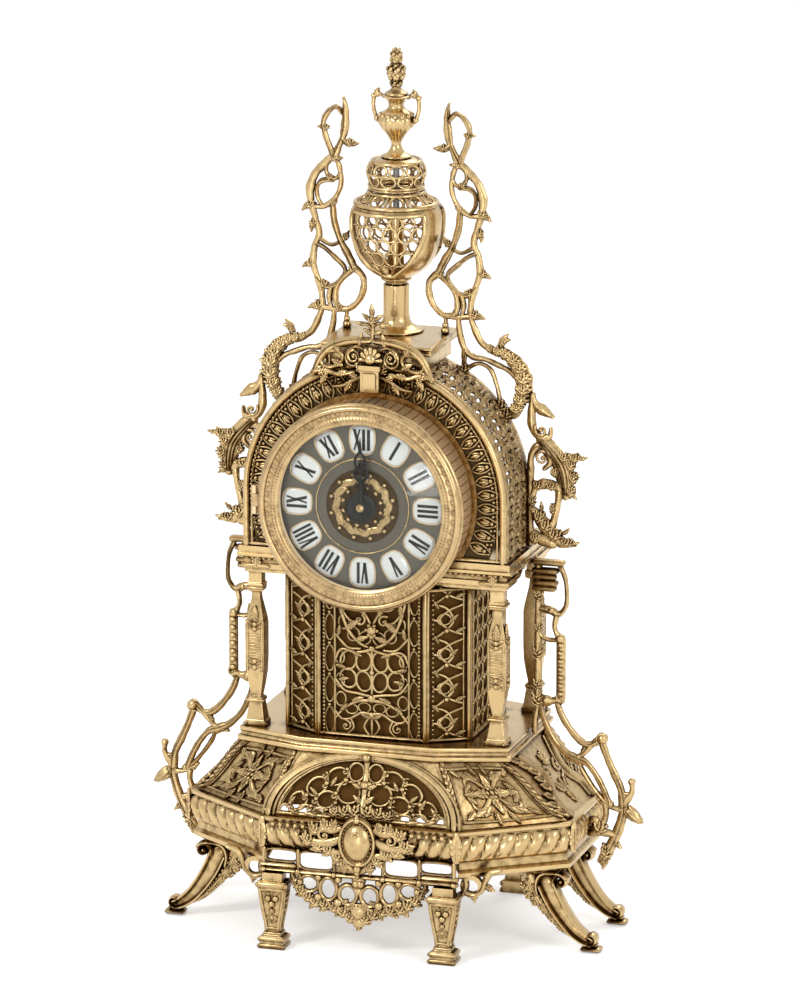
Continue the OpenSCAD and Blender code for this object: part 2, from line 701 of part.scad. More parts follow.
// tall crown bracket: x from the middle, z from the top of the roof cap
module crown_shape() {
    e1 = on_arch(33.5);
    e2 = on_arch(59);
    e3 = on_arch(37.5);
    scrolls([
        [[34, 147, 1], [34.5, 141, 3.5], [34, 132, 4.5], [35, 123, 4], [39, 115, 3], [41, 108, 4]],
        [[35, 137, 2.5], [39, 141, 2.8], [44, 139, 3], [48, 132, 3.2], [47, 124, 3.2], [44, 115, 3.4], [41, 108, 4]],
        [[35, 121, 2.5], [32, 118, 3], [28, 120, 1.2]],
        [[43, 108, 3], [50, 102, 3.4], [55, 95, 3.8], [57, 86, 4], [55, 76, 3]],
        [[38, 96, 2.4], [39.5, 89, 2.2], [42, 80, 2.4], [47, 77, 2.4], [55, 77, 2.6]],
        [[45, 96, 2], [51, 90, 2], [52, 82, 1.6]],
        [[42, 80, 3.4], [41, 67, 3.4], [37, 56, 3.4], [32, 47, 3.4], [28, 39, 3.6]],
        [[55, 76, 3], [52, 68, 2.8], [50, 58, 3], [54, 51, 3], [55, 40, 3.2], [52, 30, 3], [49.5, 22, 3], [49, 12, 3]],
        [[37, 55, 2], [43, 52, 2.2], [50, 56, 2.2]],
        [[48, 52, 2.2], [41, 45, 2.6], [34, 38, 2.4], [37, 30, 2.6], [42, 26, 2.6], [48, 26, 2.6], [53, 31, 2.4]],
        [[28, 39, 2.8], [22, 33, 3], [22, 24, 3], [26, 16, 3], [33, 12, 2.8], [39.5, 14, 2.8], [40, 23, 2.8],
            [36, 31, 2.6], [29, 37, 2.6]],
        [[43, 26, 2.2], [44.5, 19, 2.2], [43, 11, 2.2]],
        [[32, 11, 2.2], [41, 11, 2.4], [49, 12, 2.6], [54, 12, 2.2]],
        [[32.5, 11, 2.2], [cap_w / 2 - 3, 5, 2.2], [cap_w / 2 - 3, -1, 3]],
        [[41, 11, 3], [42, 1, 3.2], [45, -9, 3.4], [51, -14, 3.2], [arch_r - 28, -15, 3], [arch_r - 20, -18, 3]],
        [[45, -9, 3], [e2.x, -16, 3], [e2.x, e2.y - 1, 3]],
        [[49, 12, 2.6], [51, 6, 3], [56, -4, 3.4], [arch_r - 23, -9, 3.8], [arch_r - 16, -10, 5], [arch_r - 9, -15, 6.4],
            [arch_r - 3, -23, 7], [arch_r - 3, -33, 6.4], [arch_r - 6, -43, 5], [arch_r - 10, -50, 4], [e1.x, e1.y, 3]],
        [[e2.x, e2.y, 2], [54, -18, 2], [arch_r - 25, -21, 2.2], [arch_r - 21, -30, 2.2],
            [arch_r - 19, -38, 2.2], [e3.x, e3.y, 2.4]],
        [[arch_r - 17, -8, 2.4], [arch_r - 17, -2, 2]]]);
    eye([41.5, 101.5], [4.6, 6.4], 1.9);
    for (b = [[58, 77, 2.8], [54.5, 67, 2.6], [56, 39, 2.4], [arch_r - 17, -1, 2.2], [54, 12, 2.4], [arch_r - 1, -17, 2.6]])
        bead([b.x, b.y], b.z);
}

module crown(side) {
    side_casting(side) difference() {
        translate([0, cap_z]) crown_shape();
        translate([0, dial_z]) circle(r = arch_r + fit, $fn = 120);
        square([cap_w / 2 + fit, cap_z + 0.05]);
    }
}

module crown_left() crown(-1);
module crown_right() crown(1);

// ---- head ----

entab_plan = rectangle(2 * column_x + 13, 2 * column_y + 11);

module entablature() {
    h = entablature_h;
    arch = column_y - 9;
    color(brass) difference() {
        loft([for (s = [[0, 0], [0, 0.14], [1.5, 0.16], [1.5, 0.34], [0.4, 0.36], [0.4, 0.5], [2.5, 0.56],
            [4, 0.64], [4, 0.74], [3, 0.76], [3, 1]]) [grow(entab_plan, s[0]), column_z + s[1] * h]]);
        // arched soffit over each side opening
        translate([0, 0, column_z - arch + 9]) rotate([0, 90, 0])
            cylinder(r = arch, h = 4 * column_x, center = true, $fn = 60);
        // pocket over the case
        translate([0, 0, column_z + 3]) linear_extrude(h)
            polygon(rectangle(2 * case_w - 8, 2 * canted_y - 4));
    }
}

// outline of the arch in the X-Z plane, standing on the entablature
module arch_outline(inset) {
    r = arch_r - inset;
    n = 40;
    polygon(concat([[-r, entab_z], [r, entab_z]],
        [for (i = [0:n]) [r * cos(i * 180 / n), dial_z + r * sin(i * 180 / n)]]));
}

access_r = dial_rise - 2;

module arch_front() {
    inner = drum_r + 0.5;
    mid = (inner + arch_r - arch_band) / 2;
    color(brass) difference() {
        translate([0, arch_y + arch_t / 2, 0]) casting(arch_t) {
            difference() {
                arch_outline(0);
                arch_outline(arch_band);
            }
            intersection() {
                arch_outline(0);
                translate([0, dial_z]) {
                    circle(r = inner, $fn = 72);
                    for (a = [-15:13.9:195])
                        rotate(a) eye([mid, 0], [arch_r - mid - arch_band + 1, 6.4], 2.2);
                    for (a = [-8:13.9:190])
                        rotate(a) scroll([[inner - 1, -3, 2], [mid, 1, 2.4], [arch_r - arch_band + 1, -2, 2]]);
                }
            }
            translate([-arch_r, entab_z]) square([2 * arch_r, 4]);
        }
        rod(access_r, arch_y - 1, arch_y + arch_t + 1, 0, dial_z);
    }
}

module arch_vault() {
    cell = 8;
    color(brass) difference() {
        translate([0, arch_y + arch_t + vault_d, 0]) rotate([90, 0, 0]) linear_extrude(vault_d)
            difference() {
                arch_outline(0);
                translate([0, -1]) arch_outline(vault_wall);
            }
        for (a = [-9:18:189])
            for (k = [0:2])
                translate([0, arch_y + arch_t + 6 + k * vault_d / 3.2, dial_z]) rotate([0, -a, 0])
                    translate([arch_r - 2 * vault_wall, 0, -cell / 2]) cube([3 * vault_wall, cell, cell]);
        tie_hole();
    }
}

back_ring = 12;
back_rail = 6;

module tie_hole() {
    cylinder(d = tie_rod_d + 0.6, h = 2 * cap_z, center = true);
}

module arch_back() {
    color(brass) difference() {
        translate([0, arch_y + 1.5 * arch_t + vault_d, 0]) casting(arch_t) difference() {
            arch_outline(0);
            translate([0, back_rail]) arch_outline(back_ring);
        }
        tie_hole();
    }
}

// scrolled crest with its keystone, on the front of the arch
crest_t = 4;

module crest() {
    top = cap_z + 6;
    low = crown_z - 13;
    keystone_w = 13;
    color(brass) union() {
        translate([0, arch_y - crest_t / 2 - fit, 0]) casting(crest_t) difference() {
            union() {
                for (s = [-1, 1]) {
                    scroll([[s * 2, top - 2, 4], [s * 15, top - 2.5, 4.4], [s * 27, top - 7, 4.4],
                        [s * 34, top - 15, 4], [s * 38, top - 25, 3.6]]);
                    scroll([[s * 38, top - 24, 3], [s * 28, low + 8, 3], [s * 16, low + 8, 3], [s * 3, low + 12, 4]]);
                    eye([s * 27, top - 13], [6.5, 4.5], 3);
                    eye([s * 12, top - 11], [6, 6], 3);
                }
                translate([-keystone_w / 2 + 2, low + 4]) square([keystone_w - 4, top - low - 5]);
            }
            translate([0, dial_z]) circle(r = drum_r + 1, $fn = 120);
        }
        // keystone block
        translate([0, arch_y - fit, low]) rotate([0, 0, 180]) translate([-keystone_w / 2, 0, 0])
            cube([keystone_w, 8, 17]);
    }
}

module crest_sprig() {
    z = cap_z + 6 + seat;
    color(brass) translate([0, arch_y - crest_t / 2 - fit, z]) casting(3) {
        scroll([[0, 2.6, 5], [0, 8, 3], [-1, 14, 3]]);
        for (b = [[-4, 10, 2.6], [5, 11, 2.8], [1, 16, 3], [-2, 20, 2.4], [9, 10, 1.8]])
            bead([b.x, b.y], b.z);
        translate([-3, seat]) square([6, 3]);
        scroll([[0, 9, 2], [5, 11, 2], [9, 10, 2]]);
    }
}

cap_front = -column_y - 3;

module roof_cap() {
    y2 = 18;
    color(brass) difference() {
        union() {
            translate([-cap_w / 2, cap_front, cap_z - 5]) cube([cap_w, y2 - cap_front, 5]);
            translate([-cap_w / 2 + 4, cap_front + 3, crown_z - 7]) cube([cap_w - 8, y2 - cap_front - 6, cap_h + 4]);
        }
        translate([0, 0, dial_z]) rotate([90, 0, 0]) cylinder(r = arch_r + fit, h = 4 * column_y, center = true, $fn = 96);
        tie_hole();
    }
}

// ---- urn ----

spigot_h = 42;

module stem() {
    r = stem_r;
    color(brass) translate([0, 0, cap_z]) difference() {
        union() {
            rotate_extrude() polygon([[0, 0], [r + 9, 0], [r + 9, 1.2], [r + 5, 2.4], [r + 2, 4.5], [r + 0.5, 7.5],
                [r, 11], [r, stem_h - 3], [r - 1.4, stem_h - 2], [r - 1.4, stem_h], [0, stem_h]]);
            translate([0, 0, stem_h - 0.01]) cylinder(r = 5, h = spigot_h);
        }
        translate([0, 0, -1]) cylinder(d = tie_rod_d + 0.3, h = stem_h + spigot_h + 2);
    }
}

// the urn's outside: [share of its height, radius]
function urn_profile() = let (r = urn_r, m = urn_mouth_r) [[0, 6.5], [0.03, 10], [0.12, r * 0.62], [0.27, r * 0.83],
    [0.45, r * 0.95], [0.62, r], [0.72, r * 0.99], [0.8, r * 0.9], [0.9, m + 3.2], [0.96, m], [1, m]];

module urn() {
    p = urn_profile();
    w = urn_wall;
    color(brass) translate([0, 0, urn_z]) difference() {
        rotate_extrude() polygon(concat(
            [for (q = p) [q[1], q[0] * urn_h]],
            [for (i = [len(p) - 1:-1:2]) [p[i][1] - w, p[i][0] * urn_h]],
            [[5.2, w], [5.2, 0]]));
        // pierced panels
        for (a = [0:90:270])
            for (h = [[-18, 0.66], [0, 0.66], [18, 0.66], [-21, 0.5], [-7, 0.5], [7, 0.5], [21, 0.5],
                [-14, 0.34], [0, 0.34], [14, 0.34], [-8, 0.2], [8, 0.2], [-13, 0.86], [13, 0.86]])
                translate([0, 0, h[1] * urn_h]) rotate([90, 0, a + h[0] * 1.15])
                    translate([0, 0, urn_mouth_r - 5]) cylinder(r = h[1] > 0.8 ? 2.4 : 2.9, h = urn_r, $fn = 24);
    }
}

module urn_lid() {
    m = urn_mouth_r;
    h = lid_h;
    w = urn_wall;
    color(brass) translate([0, 0, lid_z + 0.02]) difference() {
        rotate_extrude() polygon([[m - w, 0], [m + 0.8, 0], [m + 0.8, h * 0.1], [m, h * 0.14], [m + 1.2, h * 0.4],
            [m + 1, h * 0.6], [m - 1, h * 0.8], [m - 4, h * 0.93], [m - 7, h], [tie_rod_d / 2 + 0.3, h],
            [tie_rod_d / 2 + 0.3, h - w], [m - 7, h - w], [m - 3, h * 0.74], [m - 1, h * 0.45], [m - w, h * 0.15]]);
        for (i = [0:9])
            translate([0, 0, h * (i % 2 == 0 ? 0.58 : 0.33)]) rotate([90, 0, i * 36])
                translate([0, 0, m - 6]) cylinder(r = i % 2 == 0 ? 2.8 : 2.2, h = 12, $fn = 24);
    }
}

module vase() {
    h = vase_h;
    color(brass) translate([0, 0, vase_z + 0.04]) difference() {
        union() {
            rotate_extrude() polygon([[0, 0], [9.5, 0], [9.5, h * 0.03], [6, h * 0.07], [4, h * 0.16], [4.2, h * 0.2],
                [7, h * 0.36], [10.5, h * 0.52], [11, h * 0.62], [8, h * 0.72], [5.5, h * 0.8], [6.5, h * 0.93],
                [9.5, h * 0.97], [9.5, h], [0, h]]);
            casting(2.6) for (s = [-1, 1])
                scrolls([[[s * 8, h * 0.97, 2], [s * 12.5, h * 0.98, 2.4], [s * 15, h * 0.86, 2.2],
                    [s * 14.6, h * 0.7, 2.2], [s * 10, h * 0.56, 2.4]], [[s * 12.5, h * 0.98, 2.4], [s * 12.5, h * 1.06, 2]]]);
        }
        translate([0, 0, -1]) cylinder(d = tie_rod_d, h = 11);
        translate([0, 0, h - 8]) cylinder(r = 2, h = 9);
    }
}

module flower_finial() {
    h = flower_h;
    color(brass) translate([0, 0, flower_z + 0.06]) {
        translate([0, 0, -6]) cylinder(r = 1.95, h = 6.5);
        rotate_extrude() polygon([[0, 0], [7, 0], [5, h * 0.06], [3, h * 0.1], [2.6, h * 0.28], [4, h * 0.34],
            [5.4, h * 0.42], [5, h * 0.5], [3, h * 0.58], [2.2, h * 0.63], [3.3, h * 0.72], [3.3, h * 0.88], [2, h], [0, h]]);
    }
}

nut_h = 3.2;
nut_gap = 0.25;   // between the nut and the curved rail over it
nut_z = crown_z - back_ring + back_rail - nut_h - nut_gap;

module tie_rod() {
    color("#8c8c88") translate([0, 0, nut_z - 4]) cylinder(d = tie_rod_d - 0.02, h = vase_z + 12 - nut_z);
}

module tie_nut() {
    color("#8c8c88") translate([0, 0, nut_z]) difference() {
        cylinder(r = tie_rod_d, h = nut_h, $fn = 6);
        translate([0, 0, -1]) cylinder(d = tie_rod_d, h = 6);
    }
}

// ---- drum, bezel and glass ----

hinge_x = -bezel_r - 2.8;
knuckle_r = 2;
knuckle_h = 8;
seat_w = 2.5;

module drum() {
    color("#b98f5c") difference() {
        union() {
            rod(drum_r, drum_front, arch_y, 0, dial_z);
            for (s = [-1, 1])
                translate([0, 0, dial_z + s * (knuckle_h / 2 + 2.7)]) {
                    translate([hinge_x, bezel_back, 0]) cylinder(r = knuckle_r, h = 5, center = true);
                    translate([hinge_x, drum_front + 0.2, -2.5]) cube([-hinge_x - drum_r + 1.5, 2, 5]);
                }
        }
        rod(drum_r - drum_wall, drum_front - 1, dial_y, 0, dial_z);
        rod(drum_r - drum_wall - seat_w, dial_y - 1, dial_y + 3, 0, dial_z);
        rod(drum_r - drum_wall, dial_y + 1.5, wall_y - 1, 0, dial_z);
        rod(drum_r - drum_wall, wall_y, arch_y + 1, 0, dial_z);
        rod(access_r, wall_y - 2, wall_y + 2, 0, dial_z);
        // seat over the cornice and the case
        translate([-drum_r - 1, wall_y, dial_z - drum_r - 1]) cube([2 * drum_r + 2, 20, drum_r - dial_rise + 1.3]);
        translate([hinge_x, bezel_back, dial_z]) cylinder(d = hinge_pin_d, h = 30, center = true);
    }
}

// y = 0 is the bezel's rear plane, y grows to the front
module on_bezel() {
    translate([0, bezel_back, dial_z]) rotate([90, 0, 0]) children();
}

lip_back = 3.2;

module bezel() {
    r = bezel_r;
    o = opening_r;
    color(brass) difference() {
        union() {
            on_bezel() rotate_extrude($fn = 96) polygon([[o + 2.5, 0], [r - 1, 0], [r, 1.2], [r, 3.6], [r - 1, 5.2],
                [r - 2.6, bezel_d], [r - 4.4, 5.4], [r - 5, 4.7], [r - 7.5, 5.1], [r - 10, 4.9], [o + 1.6, 4.6],
                [o, 4.1], [o, lip_back], [o + 2.5, lip_back]]);
            translate([hinge_x, bezel_back, dial_z]) cylinder(r = knuckle_r, h = knuckle_h, center = true);
            translate([hinge_x, bezel_back - 2, dial_z - knuckle_h / 2]) cube([4.5, 2, knuckle_h]);
        }
        translate([hinge_x, bezel_back, dial_z]) cylinder(r = hinge_pin_d / 2 + run, h = 30, center = true);
    }
}

module glass() {
    o = opening_r;
    edge = o - 0.3;
    steps = 8;
    dome = [for (i = [0:steps]) let (x = edge * (1 - i / steps)) [x, glass_dome * (1 - pow(x / edge, 2))]];
    color("#dfe8e8", 0.35) on_bezel() rotate_extrude($fn = 96) polygon(concat(
        [[o + 2.3, lip_back - glass_t], [o + 2.3, lip_back], [edge, lip_back]],
        [for (i = [1:steps]) dome[i] + [0, lip_back]],
        [for (i = [steps:-1:0]) dome[i] + [0, lip_back - glass_t]]));
}

module hinge_pin() {
    color("#8c8c88") translate([hinge_x, bezel_back, dial_z]) cylinder(d = hinge_pin_d, h = knuckle_h + 11, center = true);
}

// ---- dial and hands ----

dial_face = dial_y - dial_t;

module dial() {
    color("#6e675c") difference() {
        rod(drum_r - drum_wall - 0.2, dial_face, dial_y, 0, dial_z);
        rod(sleeve_r + 0.1, dial_face - 1, dial_y + 1, 0, dial_z);
    }
}

// one enamel hour plaque, narrower towards the dial's middle
module plaque() {
    w = plaque_w / 2;
    h = plaque_h / 2;
    polygon([[-w * 0.55, -h], [w * 0.55, -h], [w * 0.85, -h * 0.72], [w, h * 0.35], [w * 0.86, h * 0.78], [w * 0.45, h],
        [-w * 0.45, h], [-w * 0.86, h * 0.78], [-w, h * 0.35], [-w * 0.85, -h * 0.72]]);
}

module hour_plaques() {
    color("#eeece6") for (i = [0:11])
        translate([0, dial_face, dial_z]) rotate([0, i * 30, 0]) translate([0, 0, plaque_r])
            rotate([90, 0, 0]) linear_extrude(0.9) plaque();
}

module dial_centre() {
    color(brass) translate([0, dial_face, dial_z]) rotate([90, 0, 0]) rotate_extrude($fn = 72)
        polygon([[8.6, 0], [30.5, 0], [30.5, 0.8], [29.3, 1.2], [28.2, 0.8], [27.8, 0.5], [23.6, 0.5], [22.6, 1.8],
            [18, 2.4], [12, 2], [10, 1], [8.6, 0.8]]);
}

module fixing_nut() {
    color(brass) difference() {
        translate([0, dial_face - 0.05, dial_z]) rotate([90, 0, 0]) cylinder(r = 7.4, h = 2.1, $fn = 6);
        rod(sleeve_r, dial_face - 4, dial_face + 1, 0, dial_z);
    }
}

hour_y = dial_face - 4.4;
minute_y = hour_y - 1.2;
hand_t = 0.5;
arbor_r = 1.6;
tube_r = 2.55;

// flat hand that points up, its front face at y
module hand(y) {
    translate([0, y + hand_t, dial_z]) rotate([90, 0, 0]) linear_extrude(hand_t) offset(delta = 0.01) children();
}

module hour_hand() {
    l = hour_l;
    color("#15130f") difference() {
        hand(hour_y) {
            circle(r = 9.5, $fn = 36);
            scroll([[0, 8, 3.4], [0, l * 0.5, 2.4], [0, l * 0.6, 3]]);
            eye([0, l * 0.74], [3.4, l * 0.12], 1.8);
            scroll([[0, l * 0.86, 3.2], [0, l * 0.95, 1.6], [0, l, 0.6]]);
        }
        rod(tube_r, hour_y - 1, hour_y + 2, 0, dial_z);
    }
}

module minute_hand() {
    l = minute_l;
    color("#15130f") difference() {
        hand(minute_y) {
            circle(r = 4.6, $fn = 30);
            scroll([[0, -9, 2.6], [0, 3, 2.6], [0, l * 0.52, 1.8], [0, l * 0.58, 2.4]]);
            eye([0, l * 0.68], [3, l * 0.09], 1.6);
            scroll([[0, l * 0.77, 2.8], [0, l * 0.9, 1.4], [0, l, 0.5]]);
        }
        rod(arbor_r, minute_y - 1, minute_y + 2, 0, dial_z);
    }
}

module hand_nut() {
    color("#e8dcc0") difference() {
        translate([0, minute_y - 0.1, dial_z]) rotate([90, 0, 0]) rotate_extrude()
            polygon([[0, 0], [2.6, 0], [2.6, 0.9], [1.9, 1.6], [0, 1.9]]);
        rod(arbor_r, minute_y - 1.1, minute_y + 1, 0, dial_z);
    }
}

// ---- battery movement ----

front_wall = 1.4;
case_back = wall_y - 2.2;
lid_t = 1;
inside = dial_y + 0.1 + front_wall;
idler = gear_m * (12 + 36) / 2;
hour_m = 2 * idler / 50;

module rounded(w, r) {
    for (sx = [-1, 1], sz = [-1, 1])
        translate([sx * (w / 2 - r), sz * (w / 2 - r)]) circle(r = r);
    square([w, w - 2 * r], center = true);
    square([w - 2 * r, w], center = true);
}

// plate that stands in the X-Z plane between y1 and y2, round the dial's axis
module upright(y1, y2) {
    translate([0, y2, dial_z]) rotate([90, 0, 0]) linear_extrude(y2 - y1) children();
}

battery_r = 7.25;
battery_l = 50.5;
battery_z = 17;
coil_x = -20;
rotor_x = -13;

module movement_case() {
    w = movement_w;
    color("#2a2b2d") difference() {
        union() {
            upright(dial_y + 0.1, case_back) rounded(w, 6);
            rod(sleeve_r, dial_face - 2.4, dial_y + 1, 0, dial_z);
        }
        difference() {
            upright(inside, case_back + 1) rounded(w - 2.4, 4.8);
            rod(0.6, inside - 1, inside + 4.4, 0, dial_z - idler);
            rod(0.4, inside - 1, inside + 5, rotor_x, dial_z - 2);
        }
        rod(tube_r + run, dial_face - 3, inside + 1, 0, dial_z);
        rod(1 + run, inside - 0.9, inside + 1, 0, dial_z - 2 * idler);
    }
}

module movement_lid() {
    w = movement_w;
    color("#333538") difference() {
        union() {
            upright(case_back + 0.02, case_back + lid_t) rounded(w, 6);
            rod(3, case_back - 2.4, case_back + 0.5, 0, dial_z);
        }
        translate([-battery_l / 2 - 0.3, case_back - 1, dial_z + battery_z - 6]) cube([battery_l + 0.6, 4, 12]);
        rod(arbor_r + run, case_back - 3, case_back + 2, 0, dial_z);
        rod(1.5 + run, case_back - 1, case_back + 2, 0, dial_z - 2 * idler);
    }
}

module circuit_board() {
    color("#2f6b45") translate([11, inside + 0.02, dial_z - 24]) cube([14, 1, 32]);
}

module coil() {
    color("#a8562a") difference() {
        union() {
            translate([coil_x, inside + 4.2, dial_z - 20]) cylinder(r = 3, h = 16);
            for (z = [-21, -4])
                translate([coil_x - 4, inside + 0.02, dial_z + z]) cube([8, 8, 1]);
        }
        translate([coil_x, inside + 4.2, dial_z - 30]) cylinder(r = 1, h = 40);
    }
}

module rotor() {
    color("#77797c") difference() {
        rod(2.5, inside + 0.3, inside + 3.6, rotor_x, dial_z - 2);
        rod(0.4 + run, inside - 1, inside + 6, rotor_x, dial_z - 2);
    }
}

module battery() {
    y = inside + battery_r + 0.05;
    color("#3c5f86") translate([-battery_l / 2, y, dial_z + battery_z]) rotate([0, 90, 0]) {
        cylinder(r = battery_r, h = battery_l - 1.5);
        cylinder(r = 2.7, h = battery_l);
    }
}

// teeth of a small gear, with room for the mating teeth to pass
module teeth(m, n, turn = 0) {
    tip = m * (n / 2 + 0.8);
    root = m * (n / 2 - 1.25);
    step = 360 / n;
    rotate(turn) polygon([for (i = [0:n - 1]) each
        [for (q = [[-0.26, root], [-0.1, tip], [0.1, tip], [0.26, root]])
            q[1] * [cos((i + q[0]) * step), sin((i + q[0]) * step)]]]);
}

module gear(m, n, y1, y2, z, turn = 0) {
    translate([0, y2, z]) rotate([90, 0, 0]) linear_extrude(y2 - y1) teeth(m, n, turn);
}

hour_gear_y = inside + 0.2;
idler_y = inside + 1.9;

module minute_arbor() {
    color("#d9d9d2") union() {
        rod(arbor_r, minute_y - 0.9, case_back - 0.1, 0, dial_z);
        gear(gear_m, 12, idler_y - 0.1, idler_y + 1.3, dial_z, 90);
    }
}

module motion_wheel() {
    z = dial_z - idler;
    color("#e3ddc8") difference() {
        union() {
            gear(gear_m, 36, idler_y, idler_y + 1, z, 95);
            gear(hour_m, 10, hour_gear_y, idler_y + 0.2, z, 90);
        }
        rod(0.6 + run, inside - 1, inside + 8, 0, z);
    }
}

module hour_wheel() {
    color("#e3ddc8") difference() {
        union() {
            rod(tube_r, hour_y, hour_gear_y + 0.5, 0, dial_z);
            gear(hour_m, 40, hour_gear_y + 0.1, hour_gear_y + 1.1, dial_z, 94.5);
        }
        rod(arbor_r + run, hour_y - 1, hour_gear_y + 3, 0, dial_z);
    }
}

module setting_knob() {
    z = dial_z - 2 * idler;
    color("#1d1e20") union() {
        rod(1, inside - 0.8, idler_y, 0, z);
        rod(1.5, idler_y + 1.2, case_back + 3, 0, z);
        gear(gear_m, 12, idler_y - 0.1, idler_y + 1.3, z, 90);
        rod(5.5, case_back + lid_t + 0.3, case_back + lid_t + 4, 0, z);
    }
}

scroll_feet();
bracket_feet();
foot_screws();
base_frame();
front_apron();
rear_apron();
gadroon_rim();
front_cartouche();
rear_cartouche();
plinth_shell();
front_lunette();
rear_lunette();
plinth_deck();
columns();
case_front();
case_rear();
case_left();
case_right();
case_liner();
bracket_left();
bracket_right();
entablature();
arch_front();
arch_vault();
arch_back();
crest();
crest_sprig();
acroterion_left();
acroterion_right();
crown_left();
crown_right();
roof_cap();
stem();
urn();
urn_lid();
vase();
flower_finial();
tie_rod();
tie_nut();
drum();
bezel();
glass();
hinge_pin();
dial();
hour_plaques();
dial_centre();
fixing_nut();
hour_hand();
minute_hand();
hand_nut();
movement_case();
movement_lid();
circuit_board();
coil();
rotor();
battery();
minute_arbor();
motion_wheel();
hour_wheel();
setting_knob();
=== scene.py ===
"""Dresses a cast-brass mantel clock: rounded openwork, relief, dial, glass and finishes.

Lengths in the drawing code are millimetres; place functions turn them to the frame's metres.
"""
from math import atan2, copysign, cos, degrees, dist, hypot, pi, radians, sin, sqrt
import bmesh
import bpy
import numpy as np
from bpy.props import FloatProperty, FloatVectorProperty, IntProperty, PointerProperty
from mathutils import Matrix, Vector

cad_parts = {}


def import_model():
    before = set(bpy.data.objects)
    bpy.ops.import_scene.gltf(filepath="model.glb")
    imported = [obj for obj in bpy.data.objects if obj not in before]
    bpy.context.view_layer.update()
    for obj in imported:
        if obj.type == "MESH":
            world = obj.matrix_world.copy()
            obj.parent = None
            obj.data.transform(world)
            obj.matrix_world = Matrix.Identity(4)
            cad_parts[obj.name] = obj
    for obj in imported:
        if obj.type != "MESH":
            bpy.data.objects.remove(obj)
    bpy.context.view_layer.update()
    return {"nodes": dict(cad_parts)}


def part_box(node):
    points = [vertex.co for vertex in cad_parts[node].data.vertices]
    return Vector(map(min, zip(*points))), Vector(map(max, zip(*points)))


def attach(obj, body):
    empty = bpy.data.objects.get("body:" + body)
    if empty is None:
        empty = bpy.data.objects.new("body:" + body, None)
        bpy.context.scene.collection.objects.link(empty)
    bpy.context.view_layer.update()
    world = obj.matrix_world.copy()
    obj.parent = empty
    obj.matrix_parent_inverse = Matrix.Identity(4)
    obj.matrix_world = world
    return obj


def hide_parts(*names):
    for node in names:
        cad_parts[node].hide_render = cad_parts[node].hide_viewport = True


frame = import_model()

bl_info = {
    "name": "Brass Mantel Clock",
    "version": (1, 0, 0),
    "blender": (4, 5, 0),
    "location": "View3D > Sidebar > Clock",
    "description": "Builds the openwork, relief, dial and finishes of a cast-brass mantel clock",
    "category": "Object",
}

MM = 0.001
NODES = frame["nodes"]


def low_high(node):
    """Lowest and highest corner of a CAD node, in millimetres."""
    low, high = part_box(node)
    return [c / MM for c in low], [c / MM for c in high]


DIAL_Z = sum(c[2] for c in low_high("dial")) / 2
DIAL_FACE = low_high("dial")[0][1]
DECK_Z = low_high("plinth_deck")[1][2]
COLUMN_Z = low_high("columns")[1][2]
ENTAB_Z = low_high("entablature")[1][2]
RIM_Z = low_high("gadroon_rim")[0][2]
LEDGE_Z = low_high("gadroon_rim")[1][2]
SLOPE_Z = low_high("plinth_deck")[0][2]
CAP_Z = low_high("roof_cap")[1][2]
URN_Z = low_high("urn")[0][2]
LID_Z = low_high("urn_lid")[0][2]
VASE_Z = low_high("vase")[0][2]
FLOWER_Z = low_high("flower_finial")[0][2] + 6
ARCH_Y = low_high("arch_front")[0][1]
ARCH_R = low_high("arch_front")[1][0]
DRUM_Y = low_high("drum")[0][1]
COLUMN_H = COLUMN_Z - DECK_Z

# half widths and depths of the lantern, and its face
PANEL_W = 36.0
CASE_W = 62.0
CANTED_Y = 38.5
CASE_FACE = 53.2
CORNERS = ((-1, -1), (-1, 1), (1, -1), (1, 1))
# middles of the straight feet, tops of the curled feet, middles of the columns
FOOT_AT = (56.5, 80.5)
CURL_AT = (110, 31)
COLUMN_AT = (80, 41)
# arched opening in the front and rear slope: half its width, its height
OPEN_W, OPEN_H = 57.5, 40.2
RIM_PLAN = [(-64, -80), (64, -80), (127.5, -35), (127.5, 35), (64, 80), (-64, 80), (-127.5, 35),
    (-127.5, -35)]
DECK_PLAN = [(-44, -61.5), (44, -61.5), (88, -48), (88, 48), (44, 61.5), (-44, 61.5), (-88, 48),
    (-88, -48)]
# run, rise and length of the slope's front face
SLOPE_RUN, SLOPE_RISE, SLOPE_LEN = 14.5, 39, 41.6
# colour of inside faces left as they came from the mould, and of the ground behind the arch's leaves,
# where it is painted shade
INSIDE = "#55401F"


def linear(hex_text):
    """sRGB hex text to linear RGBA."""
    h = hex_text.lstrip("#")
    rgb = [int(h[i:i + 2], 16) / 255 for i in (0, 2, 4)]
    return [c / 12.92 if c <= 0.04045 else ((c + 0.055) / 1.055) ** 2.4 for c in rgb] + [1.0]


class ClockColours(bpy.types.PropertyGroup):
    brass: FloatVectorProperty(name="Brass", description="Polished high places", subtype="COLOR",
        size=3, default=linear("#D6BC8C")[:3], min=0, max=1)
    # patina is both the lacquer in the hollows and the painted shade there
    patina_and_shade: FloatVectorProperty(name="Patina", description="Dark lacquer in the hollows",
        subtype="COLOR", size=3, default=linear("#4E381A")[:3], min=0, max=1)
    liner: FloatVectorProperty(name="Liner", description="Sheet behind the grilles", subtype="COLOR",
        size=3, default=linear("#62400C")[:3], min=0, max=1)
    dial: FloatVectorProperty(name="Dial", description="Bronzed dial plate", subtype="COLOR", size=3,
                              default=linear("#6E675C")[:3], min=0, max=1)
    enamel: FloatVectorProperty(name="Enamel", description="Hour plaques", subtype="COLOR", size=3,
                                default=linear("#EFEEEC")[:3], min=0, max=1)


